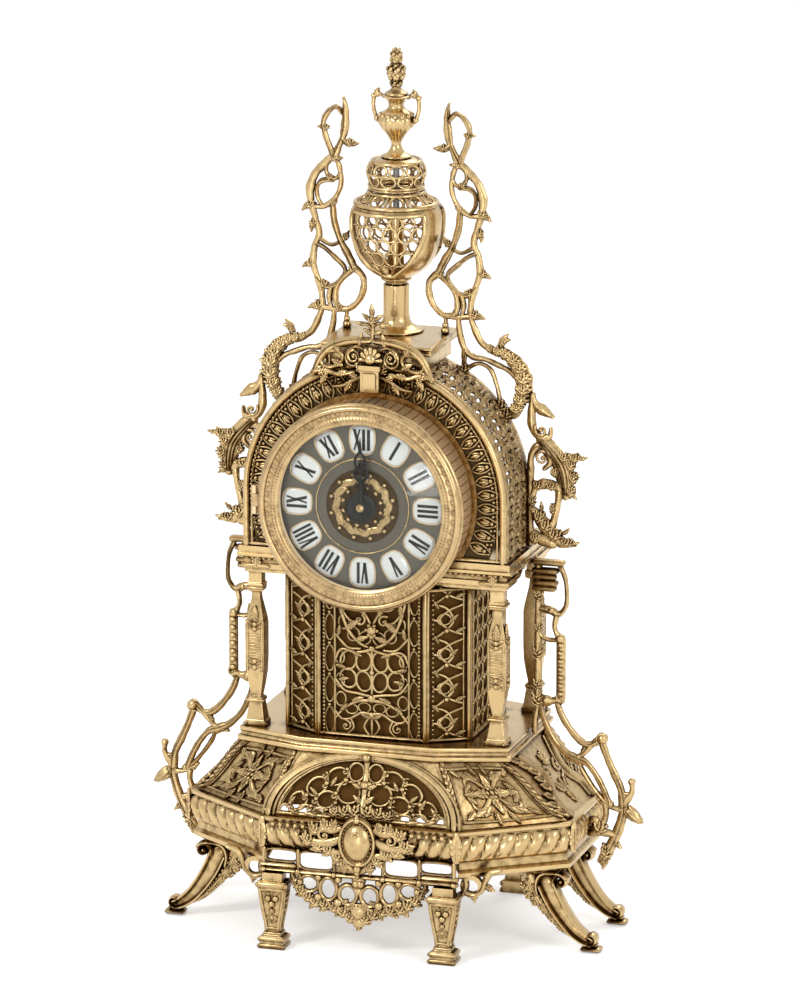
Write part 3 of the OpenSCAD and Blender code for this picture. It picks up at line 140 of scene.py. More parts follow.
class ClockSizes(bpy.types.PropertyGroup):
    casting: FloatProperty(name="Side castings", description="Thickness of the side castings, mm",
        default=5.0, min=3, max=7)
    fullness: FloatProperty(name="Fullness",
        description="Width of the scrolls against the plain casting", default=1.42, min=0.8, max=1.8)
    lobe: FloatProperty(name="Gadroon", description="Width of one gadroon on the rim, mm", default=9.2,
        min=5, max=14)
    web: FloatProperty(name="Web", description="Width of the openwork's webs, mm", default=1.9, min=1,
        max=3)
    lens: FloatProperty(name="Lens", description="Camera's focal length, mm", default=338.1, min=50,
        max=600)
    ridges: IntProperty(name="Ridges", description="Engraved lines round the drum", default=76, min=24,
        max=160)


def colours():
    return bpy.context.scene.clock_colours


def sizes():
    return bpy.context.scene.clock_sizes


# ---- materials ----

def grain(mm):
    """Noise scale that makes features of about this many millimetres."""
    return 1.0 / (mm * MM)


def shade(colour, k):
    """Linear colour made k times as light."""
    return [c * k for c in colour[:3]] + [1.0]


def node(tree, kind, inputs=None, **settings):
    """Adds a shader node with its settings, input values and links."""
    n = tree.nodes.new("ShaderNode" + kind)
    for key, value in settings.items():
        setattr(n, key, value)
    for key, value in (inputs or {}).items():
        if isinstance(value, bpy.types.NodeSocket):
            tree.links.new(value, n.inputs[key])
        else:
            n.inputs[key].default_value = value
    return n


def new_material(name):
    m = bpy.data.materials.new(name)
    m.use_nodes = True
    t = m.node_tree
    t.nodes.clear()
    return m, t


def finish_material(t, colour, metallic, roughness, height=None, bump=0.2, distance=0.0003, **extra):
    """Principled surface with an optional bump, joined to the output."""
    ins = {"Base Color": colour, "Metallic": metallic, "Roughness": roughness}
    if height is not None:
        ins["Normal"] = node(t, "Bump", {"Height": height, "Strength": bump,
            "Distance": distance}).outputs[0]
    ins.update(extra)
    p = node(t, "BsdfPrincipled", ins)
    node(t, "OutputMaterial", {"Surface": p.outputs[0]})


def blend_colour(t, share, a, b, how="MIX"):
    n = node(t, "Mix", {"Factor": share}, data_type="RGBA", blend_type=how)
    for key, value in ((6, a), (7, b)):
        if isinstance(value, bpy.types.NodeSocket):
            t.links.new(value, n.inputs[key])
        else:
            n.inputs[key].default_value = value
    return n.outputs[2]


def ramp(t, value, stops):
    n = node(t, "ValToRGB", {"Fac": value})
    e = n.color_ramp.elements
    e[0].position, e[0].color = stops[0][0], stops[0][1]
    e[1].position, e[1].color = stops[-1][0], stops[-1][1]
    for position, colour in stops[1:-1]:
        x = e.new(position)
        x.color = colour
    return n.outputs[0]


def cast_brass(name, high, low, rough, reach=9.0, bump=0.3, grit=1.6, bright=0.93):
    """Cast brass darkened towards brown within reach millimetres of other surfaces: partly lacquer left
    where a buffing wheel can't reach, partly painted shade in the hollows.
    """
    m, t = new_material(name)
    where = node(t, "TexCoord").outputs["Object"]
    cloud = node(t, "TexNoise", {"Vector": where, "Scale": grain(16), "Detail": 4.0}).outputs["Fac"]
    stain = node(t, "TexNoise", {"Vector": where, "Scale": grain(4.5), "Detail": 5.0}).outputs["Fac"]
    sand = node(t, "TexNoise", {"Vector": where, "Scale": grain(grit), "Detail": 3.0}).outputs["Fac"]
    # painted shade: ambient occlusion darkens hollows and corners, along with the real lacquer there
    painted_crevice_shade = node(t, "AmbientOcclusion", {"Distance": reach * MM}, samples=8).outputs["AO"]
    worn = node(t, "MapRange", {"Value": stain, "From Min": 0.3, "From Max": 0.7, "To Min": -0.2,
        "To Max": 0.1}).outputs[0]
    # how far each spot is darkened: painted shade from occlusion, plus random wear
    depth = node(t, "Math", {0: painted_crevice_shade, 1: worn}, operation="ADD").outputs[0]
    middle = [0.55 * a + 0.45 * b for a, b in zip(high[:3], low[:3])] + [1.0]
    # ramp from dark brown in the hollows to full brass in the open: patina and painted shade
    colour = ramp(t, depth, [(0.22, shade(low, 1.4)), (0.45, shade(low, 1.9)),
        (0.70, shade(middle, 0.8)), (bright, shade(high, 0.93))])
    tone = blend_colour(t, cloud, (1, 1, 1, 1), (0.80, 0.72, 0.60, 1.0))
    gloss = node(t, "MapRange", {"Value": stain, "To Min": rough - 0.06,
        "To Max": rough + 0.1}).outputs[0]
    finish_material(t, blend_colour(t, 1.0, colour, tone, "MULTIPLY"), 1.0, gloss, sand, bump, 0.0004)
    return m


def turned_brass(name, light, low, rough):
    """Turned brass: fine circular lines round the dial's axis, with painted shade darkening its
    crevices.
    """
    m, t = new_material(name)
    where = node(t, "TexCoord").outputs["Object"]
    # lines 0.4 mm apart: a lathe's are finer, and wouldn't show
    along = node(t, "Mapping", {"Vector": where, "Scale": (0.05, 1.0, 0.05)}).outputs[0]
    line = node(t, "TexNoise", {"Vector": along, "Scale": grain(0.4), "Detail": 2.0}).outputs["Fac"]
    cloud = node(t, "TexNoise", {"Vector": where, "Scale": grain(20), "Detail": 3.0}).outputs["Fac"]
    # painted shade: ambient occlusion blends the low colour into crevices
    painted_crevice_shade = node(t, "AmbientOcclusion", {"Distance": 1.5 * MM}, samples=8).outputs["AO"]
    tone = blend_colour(t, cloud, light, shade(light, 0.85))
    share = ramp(t, painted_crevice_shade, [(0.1, (0, 0, 0, 1)), (0.6, (1, 1, 1, 1))])
    finish_material(t, blend_colour(t, share, low, tone), 1.0, rough, line, 0.15, 0.0002)
    return m


def plain_material(name, colour, rough, metallic=0.0, mm=2.5, bump=0.1, variation=0.12, **extra):
    """Paint, moulded plastic or enamel, with a faint surface grain mm across and a change of tone."""
    m, t = new_material(name)
    where = node(t, "TexCoord").outputs["Object"]
    fleck = node(t, "TexNoise", {"Vector": where, "Scale": grain(mm), "Detail": 3.0}).outputs["Fac"]
    finish_material(t, blend_colour(t, fleck, colour, shade(colour, 1 - variation)), metallic, rough,
        fleck, bump, 0.0001, **extra)
    return m


def bronzed_dial(name, colour):
    """Dial plate: spun metal under a smoky lacquer, with faint rings round its middle."""
    m, t = new_material(name)
    where = node(t, "TexCoord").outputs["Object"]
    centred = node(t, "VectorMath", {0: where, 1: (0, 0, DIAL_Z * MM)}, operation="SUBTRACT").outputs[0]
    flat = node(t, "VectorMath", {0: centred, 1: (1, 0, 1)}, operation="MULTIPLY").outputs[0]
    radius = node(t, "VectorMath", {0: flat}, operation="LENGTH").outputs["Value"]
    # rings 2.4 mm apart, coarser than a spinning tool's marks so that they show
    rings = node(t, "Math", {0: radius, 1: 2 * pi * grain(2.4)}, operation="MULTIPLY").outputs[0]
    wave = node(t, "Math", {0: rings}, operation="SINE").outputs[0]
    cloud = node(t, "TexNoise", {"Vector": where, "Scale": grain(35), "Detail": 3.0}).outputs["Fac"]
    finish_material(t, blend_colour(t, cloud, colour, shade(colour, 0.6)), 0.55, 0.42, wave, 0.08,
        0.0001)
    return m


def clear_glass(name):
    """Domed mineral glass: thin, with a soft window gloss, and clear enough to read the dial."""
    m, t = new_material(name)
    clear = node(t, "BsdfTransparent", {"Color": linear("#FAFBFA")})
    gloss = node(t, "BsdfGlossy", {"Color": (1, 1, 1, 1), "Roughness": 0.03})
    edge = node(t, "Fresnel", {"IOR": 1.45})
    soft = node(t, "Math", {0: edge.outputs[0], 1: 0.2}, operation="MULTIPLY")
    both = node(t, "MixShader", {0: soft.outputs[0], 1: clear.outputs[0], 2: gloss.outputs[0]})
    node(t, "OutputMaterial", {"Surface": both.outputs[0]})
    return m


MATERIALS = {}


def finish(key):
    """One material for each finish on the clock, made when first asked for."""
    if key in MATERIALS:
        return MATERIALS[key]
    c = colours()
    brass, patina_and_shade = list(c.brass) + [1.0], list(c.patina_and_shade) + [1.0]
    makers = {
        # sharp relief: glints on the tips, brown patina and painted shade in every hollow
        "relief": lambda: cast_brass("Brass, sand cast and buffed", brass, patina_and_shade, 0.27),
        # broad mouldings: long soft reflections, brown patina and painted shade only in the corners
        "smooth": lambda: cast_brass("Brass, cast and polished", shade(brass, 1.04), patina_and_shade, 0.21,
            reach=7, bump=0.1, grit=4, bright=0.85),
        # openwork: duller, and a darker copy of the brass as painted shade for its recessed place, with
        # painted shade deep in its hollows
        "dark_relief": lambda: cast_brass("Brass, cast and lacquered", shade(brass, 0.86), patina_and_shade, 0.32,
            reach=10),
        # inside faces: rough and dark, as they left the mould; on the ground behind the arch's leaves
        # this dark brown is painted shade
        "inside": lambda: plain_material("Brass, as cast", linear(INSIDE), 0.62, metallic=0.6, mm=3,
            bump=0.4, variation=0.4),
        # drum: a satin tan with fine lines, and painted shade in its crevices
        "drum": lambda: turned_brass("Brass, turned satin", linear("#E8CCA6"), linear("#B08E62"), 0.5),
        # bezel: the palest and brightest metal, with its engraving darkened by patina and painted shade
        "bezel": lambda: cast_brass("Brass, turned and engraved", linear("#CFB488"), patina_and_shade, 0.24,
            reach=3, bump=0.08, grit=3, bright=0.92),
        # liner: flat brown that lets the openwork stand out; as the sheets behind the lunettes it is
        # painted shade
        "liner": lambda: plain_material("Steel sheet, brown lacquered", list(c.liner) + [1.0], 0.75,
            mm=9, variation=0.35, **{"Specular IOR Level": 0.2}),
        "dial": lambda: bronzed_dial("Brass, spun and bronzed", list(c.dial) + [1.0]),
        # enamel: milky white under a wet-looking glaze
        "enamel": lambda: plain_material("Vitreous enamel, fired", list(c.enamel) + [1.0], 0.12, mm=8,
            bump=0.03, variation=0.05, **{"Coat Weight": 0.6, "Coat Roughness": 0.05}),
        # numerals: black, a little less glossy than the enamel
        "ink": lambda: plain_material("Enamel paint, fired black", linear("#14120F"), 0.3, mm=5,
            bump=0.03),
        # hands: near black with a dull sheen
        "hand": lambda: plain_material("Steel, blacked", linear("#171410"), 0.32, metallic=0.4, mm=5,
            bump=0.05),
        "glass": lambda: clear_glass("Mineral glass, domed"),
        # screws and rods: cool grey
        "steel": lambda: plain_material("Steel, zinc plated", linear("#8F8F8A"), 0.35, metallic=1.0,
            mm=2),
        # movement case: fine spark-eroded texture, no gloss
        "black_plastic": lambda: plain_material("ABS, moulded black", linear("#26272A"), 0.5, mm=1.1,
            bump=0.2),
        # gears: waxy cream
        "cream_plastic": lambda: plain_material("Acetal, moulded", linear("#E3DDC8"), 0.4, mm=1.1),
        "board": lambda: plain_material("Glass epoxy, solder masked", linear("#2F6B45"), 0.35, mm=3.3,
            bump=0.05),
        # coil: orange wire with a ribbed gloss
        "copper": lambda: plain_material("Copper wire, enamelled", linear("#A8562A"), 0.3, metallic=0.9,
            mm=0.7, bump=0.4),
        "magnet": lambda: plain_material("Ferrite, sintered", linear("#77797C"), 0.4, metallic=0.8,
            mm=2, bump=0.2),
        "sleeve": lambda: plain_material("PVC sleeve, shrunk", linear("#3C5F86"), 0.25, metallic=0.3,
            mm=5, bump=0.03),
    }
    MATERIALS[key] = makers[key]()
    return MATERIALS[key]


def coat_node(name, key):
    """Gives a CAD node its finish."""
    obj = NODES[name]
    obj.data.materials.clear()
    obj.data.materials.append(finish(key))


def soften(name, key, width=0.6, angle=30):
    """Keeps a CAD node, with its finish and slightly rounded cast edges."""
    coat_node(name, key)
    obj = NODES[name]
    weld = obj.modifiers.new("weld", "WELD")
    weld.merge_threshold = 0.00001
    b = obj.modifiers.new("cast edges", "BEVEL")
    b.width = width * MM
    b.segments = 3
    b.limit_method = "ANGLE"
    b.angle_limit = radians(angle)
    b.harden_normals = False
    obj.modifiers.new("shading", "WEIGHTED_NORMAL")


# ---- drawing ----

def link(obj):
    bpy.context.scene.collection.objects.link(obj)


def turns(n):
    """Angles of n even steps round a circle."""
    return [2 * pi * j / n for j in range(n)]


def spline(points, k):
    """Smooth curve through points of any width, k steps a span."""
    p = np.array(points, float)
    n = len(p)
    out = []
    for i in range(n - 1):
        a, b, c, d = p[max(i - 1, 0)], p[i], p[i + 1], p[min(i + 2, n - 1)]
        for s in range(k):
            t = s / k
            out.append(0.5 * (2 * b + (c - a) * t + (2 * a - 5 * b + 4 * c - d) * t * t
                              + (3 * b - a - 3 * c + d) * t ** 3))
    out.append(p[-1])
    return np.array(out)


class Cast:
    """One cast piece: its vertices in millimetres, its faces, and a finish for each face."""

    def __init__(self, name, place=None):
        self.name = name.replace(" ", "_")
        self.place = place or (lambda u, v, h: (u, -h, v))
        self.v = []
        self.f = []
        self.m = []

    def add(self, verts, faces, finish_index=0):
        start = len(self.v)
        self.v += verts
        self.f += [tuple(i + start for i in f) for f in faces]
        self.m += [finish_index] * len(faces)

    def rings(self, rings, closed=False, caps=True, finish_index=0):
        """Skin over rings of points, each ring the same length."""
        n = len(rings[0])
        m = len(rings)
        faces = []
        for j in range(m if closed else m - 1):
            a, b = j * n, ((j + 1) % m) * n
            faces += [(a + i, a + (i + 1) % n, b + (i + 1) % n, b + i) for i in range(n)]
        if caps and not closed:
            faces += [tuple(range(n - 1, -1, -1)), tuple((m - 1) * n + i for i in range(n))]
        self.add([p for r in rings for p in r], faces, finish_index)

    def stroke(self, points, tall=0.9, base=0.0, k=5, sides=8, thick=None, full=1.0, closed=False,
            finish_index=0, hand=0.0):
        """Tapering scroll along [u, v, width] points.

        tall is its height as a share of its width, hand how uneven it is.
        """
        c = spline(points, k)
        if hand:
            run = np.arange(len(c)) * 5.0 / k + points[0][0]
            c[:, 2] *= 1 + hand * (np.sin(0.7 * run) + 0.6 * np.sin(1.7 * run + 1))
        if closed:
            c = c[:-1]
        n = len(c)
        rings = []

        def section(u, v, w, tu, tv, shrink):
            half = w * full / 2 * shrink
            up = (thick / 2 * (0.55 + 0.45 * shrink) if thick else half * tall) * (1 if shrink > 0.3
                else 0.45)
            rings.append([self.place(u - tv * half * cos(a), v + tu * half * cos(a),
                                     base + up * sin(a)) for a in turns(sides)])
        for i in range(n):
            if closed:
                t = c[(i + 1) % n] - c[i - 1]
            else:
                t = c[min(i + 1, n - 1)] - c[max(i - 1, 0)]
            length = hypot(t[0], t[1]) or 1.0
            tu, tv = t[0] / length, t[1] / length
            u, v, w = c[i]
            if i == 0 and not closed:
                for turn in (80, 45):
                    reach = w * full / 2 * sin(radians(turn))
                    section(u - tu * reach, v - tv * reach, w, tu, tv, cos(radians(turn)))
            section(u, v, w, tu, tv, 1.0)
            if i == n - 1 and not closed:
                for turn in (45, 80):
                    reach = w * full / 2 * sin(radians(turn))
                    section(u + tu * reach, v + tv * reach, w, tu, tv, cos(radians(turn)))
        self.rings(rings, closed=closed, finish_index=finish_index)

    def strokes(self, lists, s=1, **how):
        """Scrolls through each list of points, mirrored where s is -1."""
        for points in lists:
            self.stroke([(s * u, v, w) for u, v, w in points], **how)

    def bead(self, u, v, r, tall=1.0, base=0.0, wide=None, turn=0.0, finish_index=0):
        """Rounded boss, oval if wide is given."""
        wide = wide or r
        c, s = cos(radians(turn)), sin(radians(turn))
        rings = []
        for lat in (-82, -50, -18, 18, 50, 82):
            cl, sl = cos(radians(lat)), sin(radians(lat))
            ring = []
            for j in range(10):
                a = 2 * pi * j / 10
                x, y = wide * cl * cos(a), r * cl * sin(a)
                ring.append(self.place(u + x * c - y * s, v + x * s + y * c, base + r * tall * sl))
            rings.append(ring)
        self.rings(rings, finish_index=finish_index)

    def eye(self, u, v, ru, rv, w, turn=0.0, n=18, **how):
        """Oval ring."""
        c, s = cos(radians(turn)), sin(radians(turn))
        pts = []
        for j in range(n + 1):
            a = 2 * pi * j / n
            x, y = ru * cos(a), rv * sin(a)
            pts.append((u + x * c - y * s, v + x * s + y * c, w))
        self.stroke(pts, closed=True, k=1, **how)

    def volute(self, u, v, r, start, turns=1.25, way=1, w=3.0, **how):
        """Spiral that winds in from angle start to a bead in its middle."""
        steps = int(14 * turns)
        pts = []
        for j in range(steps + 1):
            t = j / steps
            a = radians(start + way * 360 * turns * t)
            rr = r * (1 - 0.78 * t)
            pts.append((u + rr * cos(a), v + rr * sin(a), w * (1 - 0.45 * t)))
        self.stroke(pts, k=1, **how)
        self.bead(u, v, w * 0.62, base=how.get("base", 0.0), tall=0.9,
            finish_index=how.get("finish_index", 0))

    def leaf(self, u, v, aim, length, wide, curl=0.0, lobes=2, thick=3.0, base=0.0):
        """Soft leaf with a crimped edge and a midrib, curling by curl degrees towards its tip."""
        a = radians(aim)
        x, y = u, v
        line = []
        count = 4
        for j in range(count + 1):
            t = j / count
            half = wide * (0.16 + 0.3 * sin(pi * min(1.0, 0.16 + 0.8 * t)))
            line.append((x, y, 2 * half))
            if 0 < j <= lobes:
                r = wide * 0.2
                for side in (-1, 1):
                    self.bead(x - sin(a) * side * half * 0.7, y + cos(a) * side * half * 0.7, r,
                        wide=r * 1.35, tall=thick * 0.45 / r, base=base, turn=degrees(a) + side * 36)
            a += radians(curl) / count
            x += cos(a) * length / count
            y += sin(a) * length / count
        self.stroke(line, k=2, sides=8, thick=thick * 0.8, base=base)
        self.stroke([(p, q, wide * 0.2) for p, q, w in line[:-1]], k=1, sides=6, thick=thick * 1.2,
            base=base)

    def leaves(self, s, rows, share=1.0, wide=0.5, **how):
        """Leaves from (u, v, aim, size) rows, mirrored where s is -1."""
        for u, v, aim, size in rows:
            self.leaf(s * u, v, aim if s > 0 else 180 - aim, size * share, size * wide, **how)

    def clump(self, u, v, r, count=9, deep=2.2, wide=None):
        """Dense foliage on both faces of a casting: small petals that overlap."""
        wide = wide or r
        for i in range(int(count * 1.5)):
            a = i * 2.4
            q = sqrt((i + 0.5) / (count * 1.5))
            petal = 0.23 * min(r, wide) * (1.25 - 0.3 * q + 0.25 * sin(3.7 * i))
            for h in (-1, 1):
                self.bead(u + wide * q * cos(a), v + r * q * sin(a), petal, tall=1.0,
                    wide=petal * (2.2 + 0.5 * sin(5.1 * i)), base=h * deep * (1 - 0.45 * q * q),
                    turn=67 * i + 50 * h)

    def lathe(self, profile, centre=(0, 0), n=64, axis="z", finish_index=0, wave=None):
        """Closed turned form of [radius, height] points; wave(angle, radius, height) adds radius."""
        rings = []
        for j in range(n):
            a = 2 * pi * j / n
            ring = []
            for r, h in profile:
                rr = r + (wave(a, r, h) if wave else 0.0)
                if axis == "z":
                    ring.append((centre[0] + rr * cos(a), centre[1] + rr * sin(a), h))
                else:
                    ring.append((centre[0] + rr * cos(a), h, centre[1] + rr * sin(a)))
            rings.append(ring)
        self.rings(rings, closed=True, finish_index=finish_index)

    def turned(self, profile, face, n):
        """Closed form round the dial's axis, of [radius, height in front of y = face] points."""
        self.lathe([(r, face - h) for r, h in profile], (0, DIAL_Z), n, "y")

    def block(self, corner, size, finish_index=0):
        x, y, z = corner
        a, b, c = size
        v = [(x + i * a, y + j * b, z + k * c) for i in (0, 1) for j in (0, 1) for k in (0, 1)]
        self.add(v, [(0, 1, 3, 2), (4, 6, 7, 5), (0, 4, 5, 1), (2, 3, 7, 6), (0, 2, 6, 4),
            (1, 5, 7, 3)], finish_index)

    def make(self, finishes, body, replaces=(), smooth=True, angle=50):
        """The finished object, riding on its body."""
        mesh = bpy.data.meshes.new(self.name)
        mesh.from_pydata([(x * MM, y * MM, z * MM) for x, y, z in self.v], [], self.f)
        for key in finishes:
            mesh.materials.append(finish(key))
        mesh.polygons.foreach_set("material_index", self.m)
        b = bmesh.new()
        b.from_mesh(mesh)
        bmesh.ops.recalc_face_normals(b, faces=b.faces)
        b.to_mesh(mesh)
        b.free()
        if smooth:
            mesh.shade_smooth()
            mesh.set_sharp_from_angle(angle=radians(angle))
        obj = bpy.data.objects.new(self.name, mesh)
        link(obj)
        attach(obj, body)
        if replaces:
            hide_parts(*replaces)
        return obj


def upright(side=1, dx=0.0, dz=0.0, y=0.0):
    """Place function of a casting in the X-Z plane, mirrored for the left side."""
    return lambda u, v, h: (side * (u + dx), y - h, v + dz)


def facing(side):
    return "front" if side < 0 else "rear"


def front_plane(side, y, dz=0.0):
    """Place function of a plane that faces the front (side -1) or the rear (side 1)."""
    return lambda u, v, h: (-side * u, side * (y + h), v + dz)


def beside(points, share, w):
    """Line beside a scroll's middle, at a share of its half width and w wide."""
    c = spline(points, 3)
    out = []
    for i in range(len(c)):
        t = c[min(i + 1, len(c) - 1)] - c[max(i - 1, 0)]
        k = c[i][2] / 2 * share / (hypot(t[0], t[1]) or 1.0)
        out.append((c[i][0] - t[1] * k, c[i][1] + t[0] * k, w))
    return out


def window(u, v, ru, rv, w):
    """Closed line round an opening with rounded corners."""
    out = []
    for j in range(29):
        c, s = cos(2 * pi * j / 28), sin(2 * pi * j / 28)
        out.append((u + ru * copysign(abs(c) ** 0.5, c), v + rv * copysign(abs(s) ** 0.5, s), w))
    return out


# ---- side castings ----

T = COLUMN_H
X0 = 39.8
BRACKET = [
    [(3.5, T + 8, 3.6), (3.5, T * 0.6, 3.6), (3.5, 18, 3.6)],
    [(18, T + 6, 2.6), (21.5, T - 2, 2.3), (22.5, T - 15, 2.2), (21, T - 21, 2.4), (17, T - 25, 3),
     (12, T - 23, 4.2), (5, T - 22, 2.6)],
    [(16, T - 25, 3), (14.5, T - 33, 2.4), (16, T - 38, 2.8), (19, T - 42, 4)],
    [(4, T - 25, 2), (5, T - 38, 1.8), (10, T - 42, 2.4), (17, T - 42, 2.4)],
    [(4, T - 81, 3.6), (8, T - 82.5, 5.5), (14, T - 82, 3.4), (18, T - 81, 5)],
    [(16, 19, 2.8), (20, 9, 3.2), (27, -1, 3.4), (34, -7, 3.4), (40, -7, 3.2), (45, -3, 4)],
    [(46, -5, 3.4), (50, -16, 3.6), (55, -27, 3.6), (59, -36, 3.8), (60.5, -47, 4.6), (59.5, -55, 4.4),
     (56, -66, 4.6), (51, -76, 5.4), (45, -84, 2.4)],
    [(5, 18, 3), (8, 6, 2.8), (14, -6, 3), (22, -14, 3.2), (30, -18, 5), (36, -20, 3), (42, -27, 3),
     (47, -36, 3), (51, -46, 4)],
    [(30, -17, 3), (35, -13, 2.6), (39, -8, 3)],
    [(31, -17, 2.4), (33, -24, 2.2), (38, -32, 2.2), (45, -41, 2.2), (50, -46, 2.4)],
    [(49, -48, 3.4), (49, -54, 2.8), (46, -61, 2.8), (X0 + 2, -57, 3.6), (X0 - 2, -59, 3)],
    [(49, -47, 2), (56, -48.5, 2.8), (63, -49.5, 2.6)],
    [(66, -30, 2.8), (66, -37, 2.8), (62, -43, 4), (60, -47, 4)],
    [(55, -66, 3), (48, -65, 4.2), (X0 - 1, -66, 3.6)],
    [(4, 17, 3), (2, 7, 3), (1.6, -2, 3)],
]


def side_bracket(side):
    c = Cast("side bracket " + hand(side), upright(side, 90.7, DECK_Z))
    th = sizes().casting
    c.strokes(BRACKET, thick=th * 0.85, full=sizes().fullness, k=6, hand=0.07)
    for line in BRACKET[5:8] + BRACKET[1:2]:
        c.stroke(beside(line, 0.35, 1.3), thick=th * 1.06, k=2)
    # relief strip with its husks, and the knots on the inner bar
    c.stroke([(18.8, T - 41, 6.4), (18.8, T - 62, 6.4), (18.8, T - 80, 6.4)], thick=th * 0.7)
    for k in range(7):
        for h in (-1, 1):
            c.bead(18.8, T - 45 - k * 5.3, 1.8, base=h * th * 0.34, tall=0.8, wide=2.7)
    for z, r in ((T - 13, 3), (T * 0.66, 2.6), (T * 0.5, 3.4), (30, 3), (20, 3.6)):
        c.clump(4, z, r * 1.7, 9, 2.0, wide=r)
    # corbel under the cornice, with its mouldings
    for z, w, deep in ((T + 8.5, 19, 9), (T + 3, 15, 8), (T - 1, 13.5, 7), (T - 5, 14.5, 8),
            (T - 8.5, 13.5, 7)):
        c.stroke([(1.5, z, 4.6), (w, z, 4.6)], thick=deep, k=2)
    for b in ((46.5, -3, 4.6), (12, T - 23, 3.2), (9, T - 82, 3.8), (52, -46, 3), (47, -63, 3),
            (18, T - 41, 4)):
        c.bead(b[0], b[1], b[2] * 0.85)
    for h in (-1, 1):
        c.volute(46.5, -3, 4.2, -120, 1.1, -side, 1.7, base=h * 1.8)
        c.volute(19, T - 80, 3.4, 90, 1.1, side, 1.8, base=h * 1.5)
    # closed bud with a ridge along it
    c.bead(67.4, -52.2, 3.6, tall=0.95, wide=7.8, turn=-38)
    for k in (-1, 1):
        c.bead(67.0 + 1.1 * k, -51.9 + 1.4 * k, 2.4, tall=1.1, wide=6.8, turn=-38 - 9 * k)
        c.bead(67.0, -51.9, 1.3, tall=0.9, wide=5.4, turn=-38, base=k * 2.7)
    c.clump(61.6, -48, 3.2, 6, 1.6)
    c.stroke([(60, -47, 3), (66, -51.4, 1.6), (73.4, -56.4, 0.8)], thick=5)
    # leaves on the arms
    c.bead(66, -30, 2.6)
    c.leaves(1, ((51, -47, 150, 9), (52, -75, -118, 12), (48, -64, 170, 9), (30, -16, 200, 8),
        (49, -80, -100, 9), (54, -70, -40, 7), (33, -14, 60, 7), (58, -40, 20, 7)), wide=0.6,
        thick=th * 0.8)
    c.clump(50, -78, 6, 11, 2.2, wide=3.6)
    c.clump(46, -62, 4.6, 9, 2.0)
    c.make(["relief"], "case", [low_name("bracket", side)])


def hand(side):
    return "left" if side < 0 else "right"


def low_name(stem, side):
    return stem + "_" + hand(side)


def on_arch(angle, extra=0.0):
    a = radians(angle)
    r = ARCH_R + extra
    return r * cos(a), DIAL_Z + r * sin(a) - CAP_Z


E1, E2, E3 = on_arch(33.5), on_arch(59), on_arch(37.5)
CROWN = [
    [(35, 121, 2.8), (32, 118.4, 3), (28.4, 119.6, 1.6)],
    [(34.5, 148, 0.8), (33.5, 141, 3.2), (33.6, 132, 4.4), (35, 123, 3.6), (38, 116, 3.4),
     (41, 109, 4.4)],
    [(35, 137, 2.2), (39, 141.5, 2.6), (44, 139, 2.8), (48, 132, 3), (47, 124, 3), (44, 116, 3.4),
     (41, 109, 4.4)],
    [(42, 110, 4), (48, 104, 4), (54, 97, 4.4), (57, 87, 4.6), (56, 79, 3.8)],
    [(38.5, 106, 2.6), (36.5, 98, 2.8), (37, 90, 2.6), (41, 82, 2.8), (48, 77, 2.8), (56, 77, 3.2)],
    [(42, 94, 2.4), (48, 94, 2.8), (52, 90, 2.4), (52, 83, 2.2), (49, 78, 2)],
    [(42, 80, 3.6), (41, 68, 3.4), (37, 56, 3.6), (32, 47, 4), (28, 39, 4.6)],
    [(56, 77, 4), (53, 68, 3.4), (51, 59, 3.4), (54, 51, 3.6), (55, 40, 3.6), (52, 30, 3.4),
     (49.5, 22, 3.6), (49, 12, 4)],
    [(37, 55, 2), (43, 52.5, 2.2), (50, 56, 2.4)],
    [(53, 53, 2.2), (47, 50, 2.4), (41, 45, 2.8), (34, 38, 2.6), (36, 31, 2.8), (42, 26, 3.2),
     (48, 26, 3), (53, 31, 2.6)],
    [(28, 39, 3.6), (22, 33, 3.6), (22, 24, 3.4), (26, 16, 3.2), (33, 11.5, 3), (39.5, 14, 3.2),
     (40, 23, 3.2), (36, 31, 3), (29, 37, 2.8)],
    [(43, 26, 2.8), (44.5, 19, 2.8), (43, 11, 2.8)],
    [(32, 11, 2.4), (41, 11, 2.8), (49, 12, 3.4), (54, 12, 2.6)],
    [(32.5, 11, 2.2), (33, 5, 2.4), (33, -0.5, 3)],
    [(41, 11, 3), (42, 1, 3.2), (45, -9, 3.4), (51, -14, 3.2), (59, -15, 3), (67, -18, 3), (74, -21, 3),
     (80, -26, 3)],
    [(45, -9, 3), (E2[0], -16, 3), (E2[0], E2[1], 3)],
    [(49, 12, 3), (51, 6, 3.4), (56, -4, 3.6), (64, -9, 4.2), (71, -10, 5.4), (78, -15, 7),
     (84, -23, 8), (84, -33, 7.5), (81, -43, 6), (77, -50, 4.4), (E1[0], E1[1], 3.4)],
    [(E2[0], E2[1], 2.4), (54, -18, 2.2), (62, -21, 2.4), (66, -30, 2.4), (68, -38, 2.4),
     (E3[0], E3[1], 2.6)],
]


